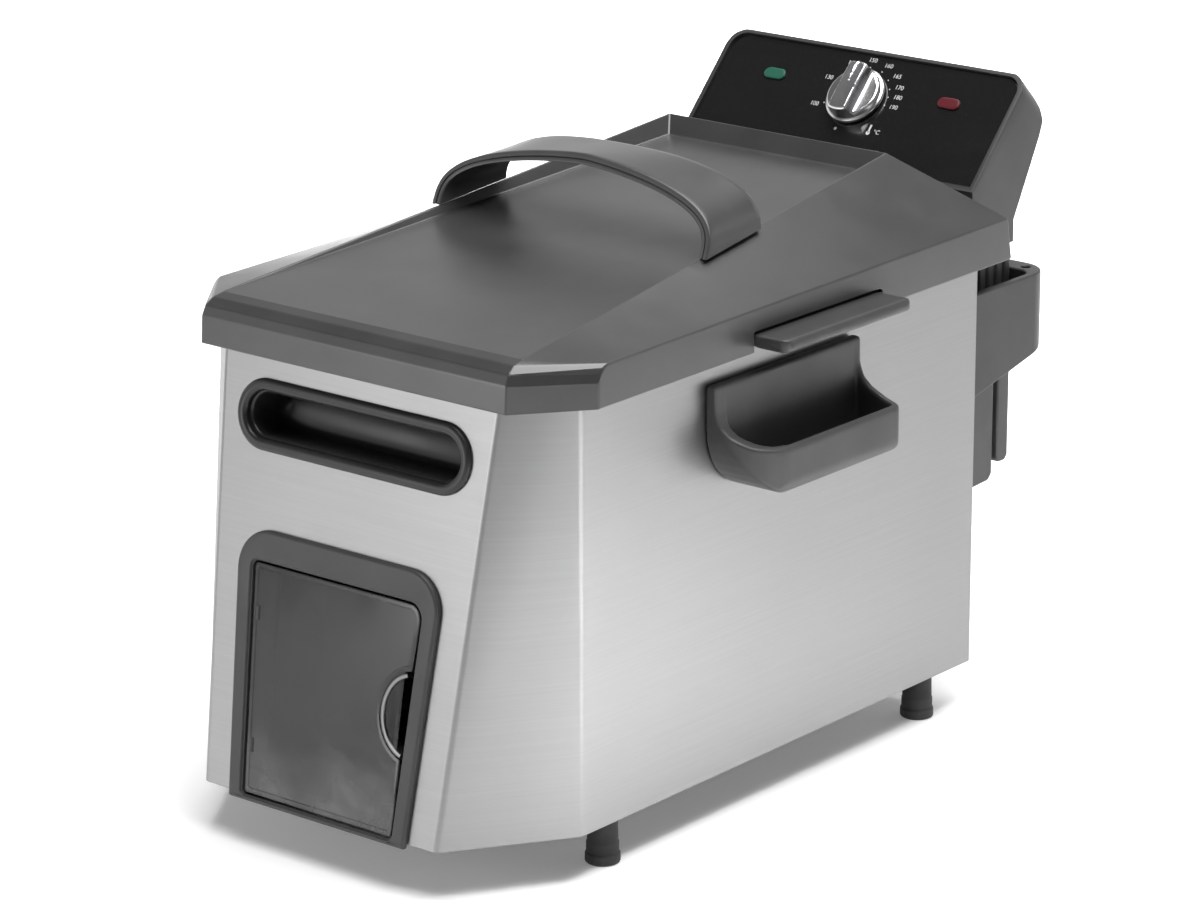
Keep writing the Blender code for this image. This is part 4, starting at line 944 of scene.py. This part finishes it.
def build_basket(looks):
    """Woven wire basket with three frame wires, inside the node's box."""
    low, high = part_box("basket")
    wall = FRAME_WIRE * MM
    fine = MESH_WIRE * MM
    top = high.z - wall
    floor = low.z + wall
    half_top = high.x - wall
    front_top = low.y + wall
    back_top = high.y - wall
    draw_in = BASKET_DRAW * MM
    pitch = WIRE_PITCH * MM
    bm = bmesh.new()

    def ring_wire(height, share, radius, sides):
        """Level wire round the basket, drawn in by a share of the walls' slope."""
        inset = draw_in * share
        ring = rounded_plan(
            half_top - inset, front_top + inset, back_top - inset,
            BASKET_CUT * MM, BASKET_CORNER * MM, height)
        wire(bm, ring, radius, sides, True)

    ring_wire(top, 0.0, wall, 8)
    ring_wire(floor + FOOT_RING_UP * MM, 1.0, wall, 8)
    ring_wire(top - NECK_RING_DOWN * MM, 0.05, fine * 1.6, 8)
    levels = int((top - floor) / pitch)
    for k in range(1, levels):
        ring_wire(floor + (top - floor) * k / levels, 1.0 - k / levels, fine, 5)

    def u_wire(start, end, fixed, along_x):
        """Down one wall, over the floor and up the other."""
        points = [(start, top), (start + draw_in, floor), (end - draw_in, floor), (end, top)]
        path = []
        for (s0, z0), (s1, z1) in zip(points, points[1:]):
            for k in range(10):
                t = k / 10.0
                path.append((s0 + (s1 - s0) * t, z0 + (z1 - z0) * t))
        path.append(points[-1])
        if along_x:
            wire(bm, [Vector((s, fixed, z)) for s, z in path], fine, 5)
        else:
            wire(bm, [Vector((fixed, s, z)) for s, z in path], fine, 5)

    side_start = front_top + BASKET_MARGINS[0] * MM
    count = int((back_top - BASKET_MARGINS[1] * MM - side_start) / pitch)
    for k in range(count + 1):
        u_wire(-half_top, half_top, side_start + k * pitch, True)
    reach = half_top - BASKET_MARGINS[0] * MM
    count = int(2.0 * reach / pitch)
    for k in range(count + 1):
        u_wire(front_top, back_top, -reach + k * (2.0 * reach / count), False)
    return stand_for(from_bmesh("basket_piece", bm, looks["polished_steel"]), "basket")


# ---------------------------------------------------------------- stage

def build_world():
    """Studio round the object: bright at the horizon, darker above and towards one side."""
    world = bpy.data.worlds.new("studio")
    bpy.context.scene.world = world
    world.use_nodes = True
    tree = world.node_tree
    back = tree.nodes["Background"]
    place = tree.nodes.new("ShaderNodeTexCoord")
    split = tree.nodes.new("ShaderNodeSeparateXYZ")
    tree.links.new(place.outputs["Generated"], split.inputs["Vector"])
    height = add(
        tree, "ShaderNodeMapRange",
        From_Min=WORLD_FADE[0], From_Max=WORLD_FADE[1], To_Min=1.0, To_Max=WORLD_ABOVE)
    tree.links.new(split.outputs["Z"], height.inputs["Value"])
    dot = tree.nodes.new("ShaderNodeVectorMath")
    dot.operation = "DOT_PRODUCT"
    dot.inputs[1].default_value = DIM_SIDE
    tree.links.new(place.outputs["Generated"], dot.inputs[0])
    level = add(
        tree, "ShaderNodeMapRange",
        From_Min=DIM_FADE[0], From_Max=DIM_FADE[1], To_Min=WORLD_LEVEL, To_Max=WORLD_DIM)
    tree.links.new(dot.outputs["Value"], level.inputs["Value"])
    mix = tree.nodes.new("ShaderNodeMath")
    mix.operation = "MULTIPLY"
    tree.links.new(height.outputs["Result"], mix.inputs[0])
    tree.links.new(level.outputs["Result"], mix.inputs[1])
    tree.links.new(mix.outputs["Value"], back.inputs["Strength"])
    back.inputs["Color"].default_value = (1.0, 1.0, 1.0, 1.0)


def soft_light(name, where, size, power, target, spread):
    light = bpy.data.lights.new(name, "AREA")
    light.shape = "RECTANGLE"
    light.size = size[0]
    light.size_y = size[1]
    light.energy = power
    light.spread = math.radians(spread)
    obj = bpy.data.objects.new(name, light)
    bpy.context.scene.collection.objects.link(obj)
    obj.location = where
    obj.rotation_euler = (Vector(target) - Vector(where)).to_track_quat("-Z", "Y").to_euler()


def build_stage():
    """Pale floor and the lights over it."""
    bm = bmesh.new()
    bmesh.ops.create_grid(bm, x_segments=1, y_segments=1, size=FLOOR_HALF)
    mat, tree, shader = new_material("floor_paint")
    cloud = noise(tree, (3.0, 3.0, 3.0), 2.0)
    tree.links.new(tint(tree, cloud, (0.91, 0.91, 0.91), (0.93, 0.93, 0.93)), shader.inputs["Base Color"])
    shader.inputs["Roughness"].default_value = 0.9
    shader.inputs["Emission Color"].default_value = (1.0, 1.0, 1.0, 1.0)
    shader.inputs["Emission Strength"].default_value = 0.16
    floor = from_bmesh("floor", bm, mat)
    for light in LIGHTS:
        soft_light(*light)


def build_camera():
    data = bpy.data.cameras.new("camera")
    data.sensor_width = CAMERA_SENSOR
    data.lens = CAMERA_LENS
    data.clip_end = 50.0
    camera = bpy.data.objects.new("camera", data)
    bpy.context.scene.collection.objects.link(camera)
    camera.location = CAMERA_AT
    camera.rotation_euler = CAMERA_TURN
    bpy.context.scene.camera = camera
    bpy.context.scene.view_settings.view_transform = "Standard"


# ---------------------------------------------------------------- object

HAND_BUILT = {
    "thermostat_knob": build_dial, "basket": build_basket, "front_handle_cup": build_cup,
    "drain_bezel": build_bezel, "drain_door": build_door, "door_pull": build_pull,
    "lid_handle": build_arch, "control_housing": build_housing,
}


def main():
    build_camera()
    looks = make_materials()
    for node in sorted(frame["nodes"]):
        if node in HAND_BUILT:
            HAND_BUILT[node](looks)
        elif node in MOULDED:
            moulded(node, looks)
        else:
            refined(node, looks)
    build_print(looks)
    build_world()
    build_stage()


main()
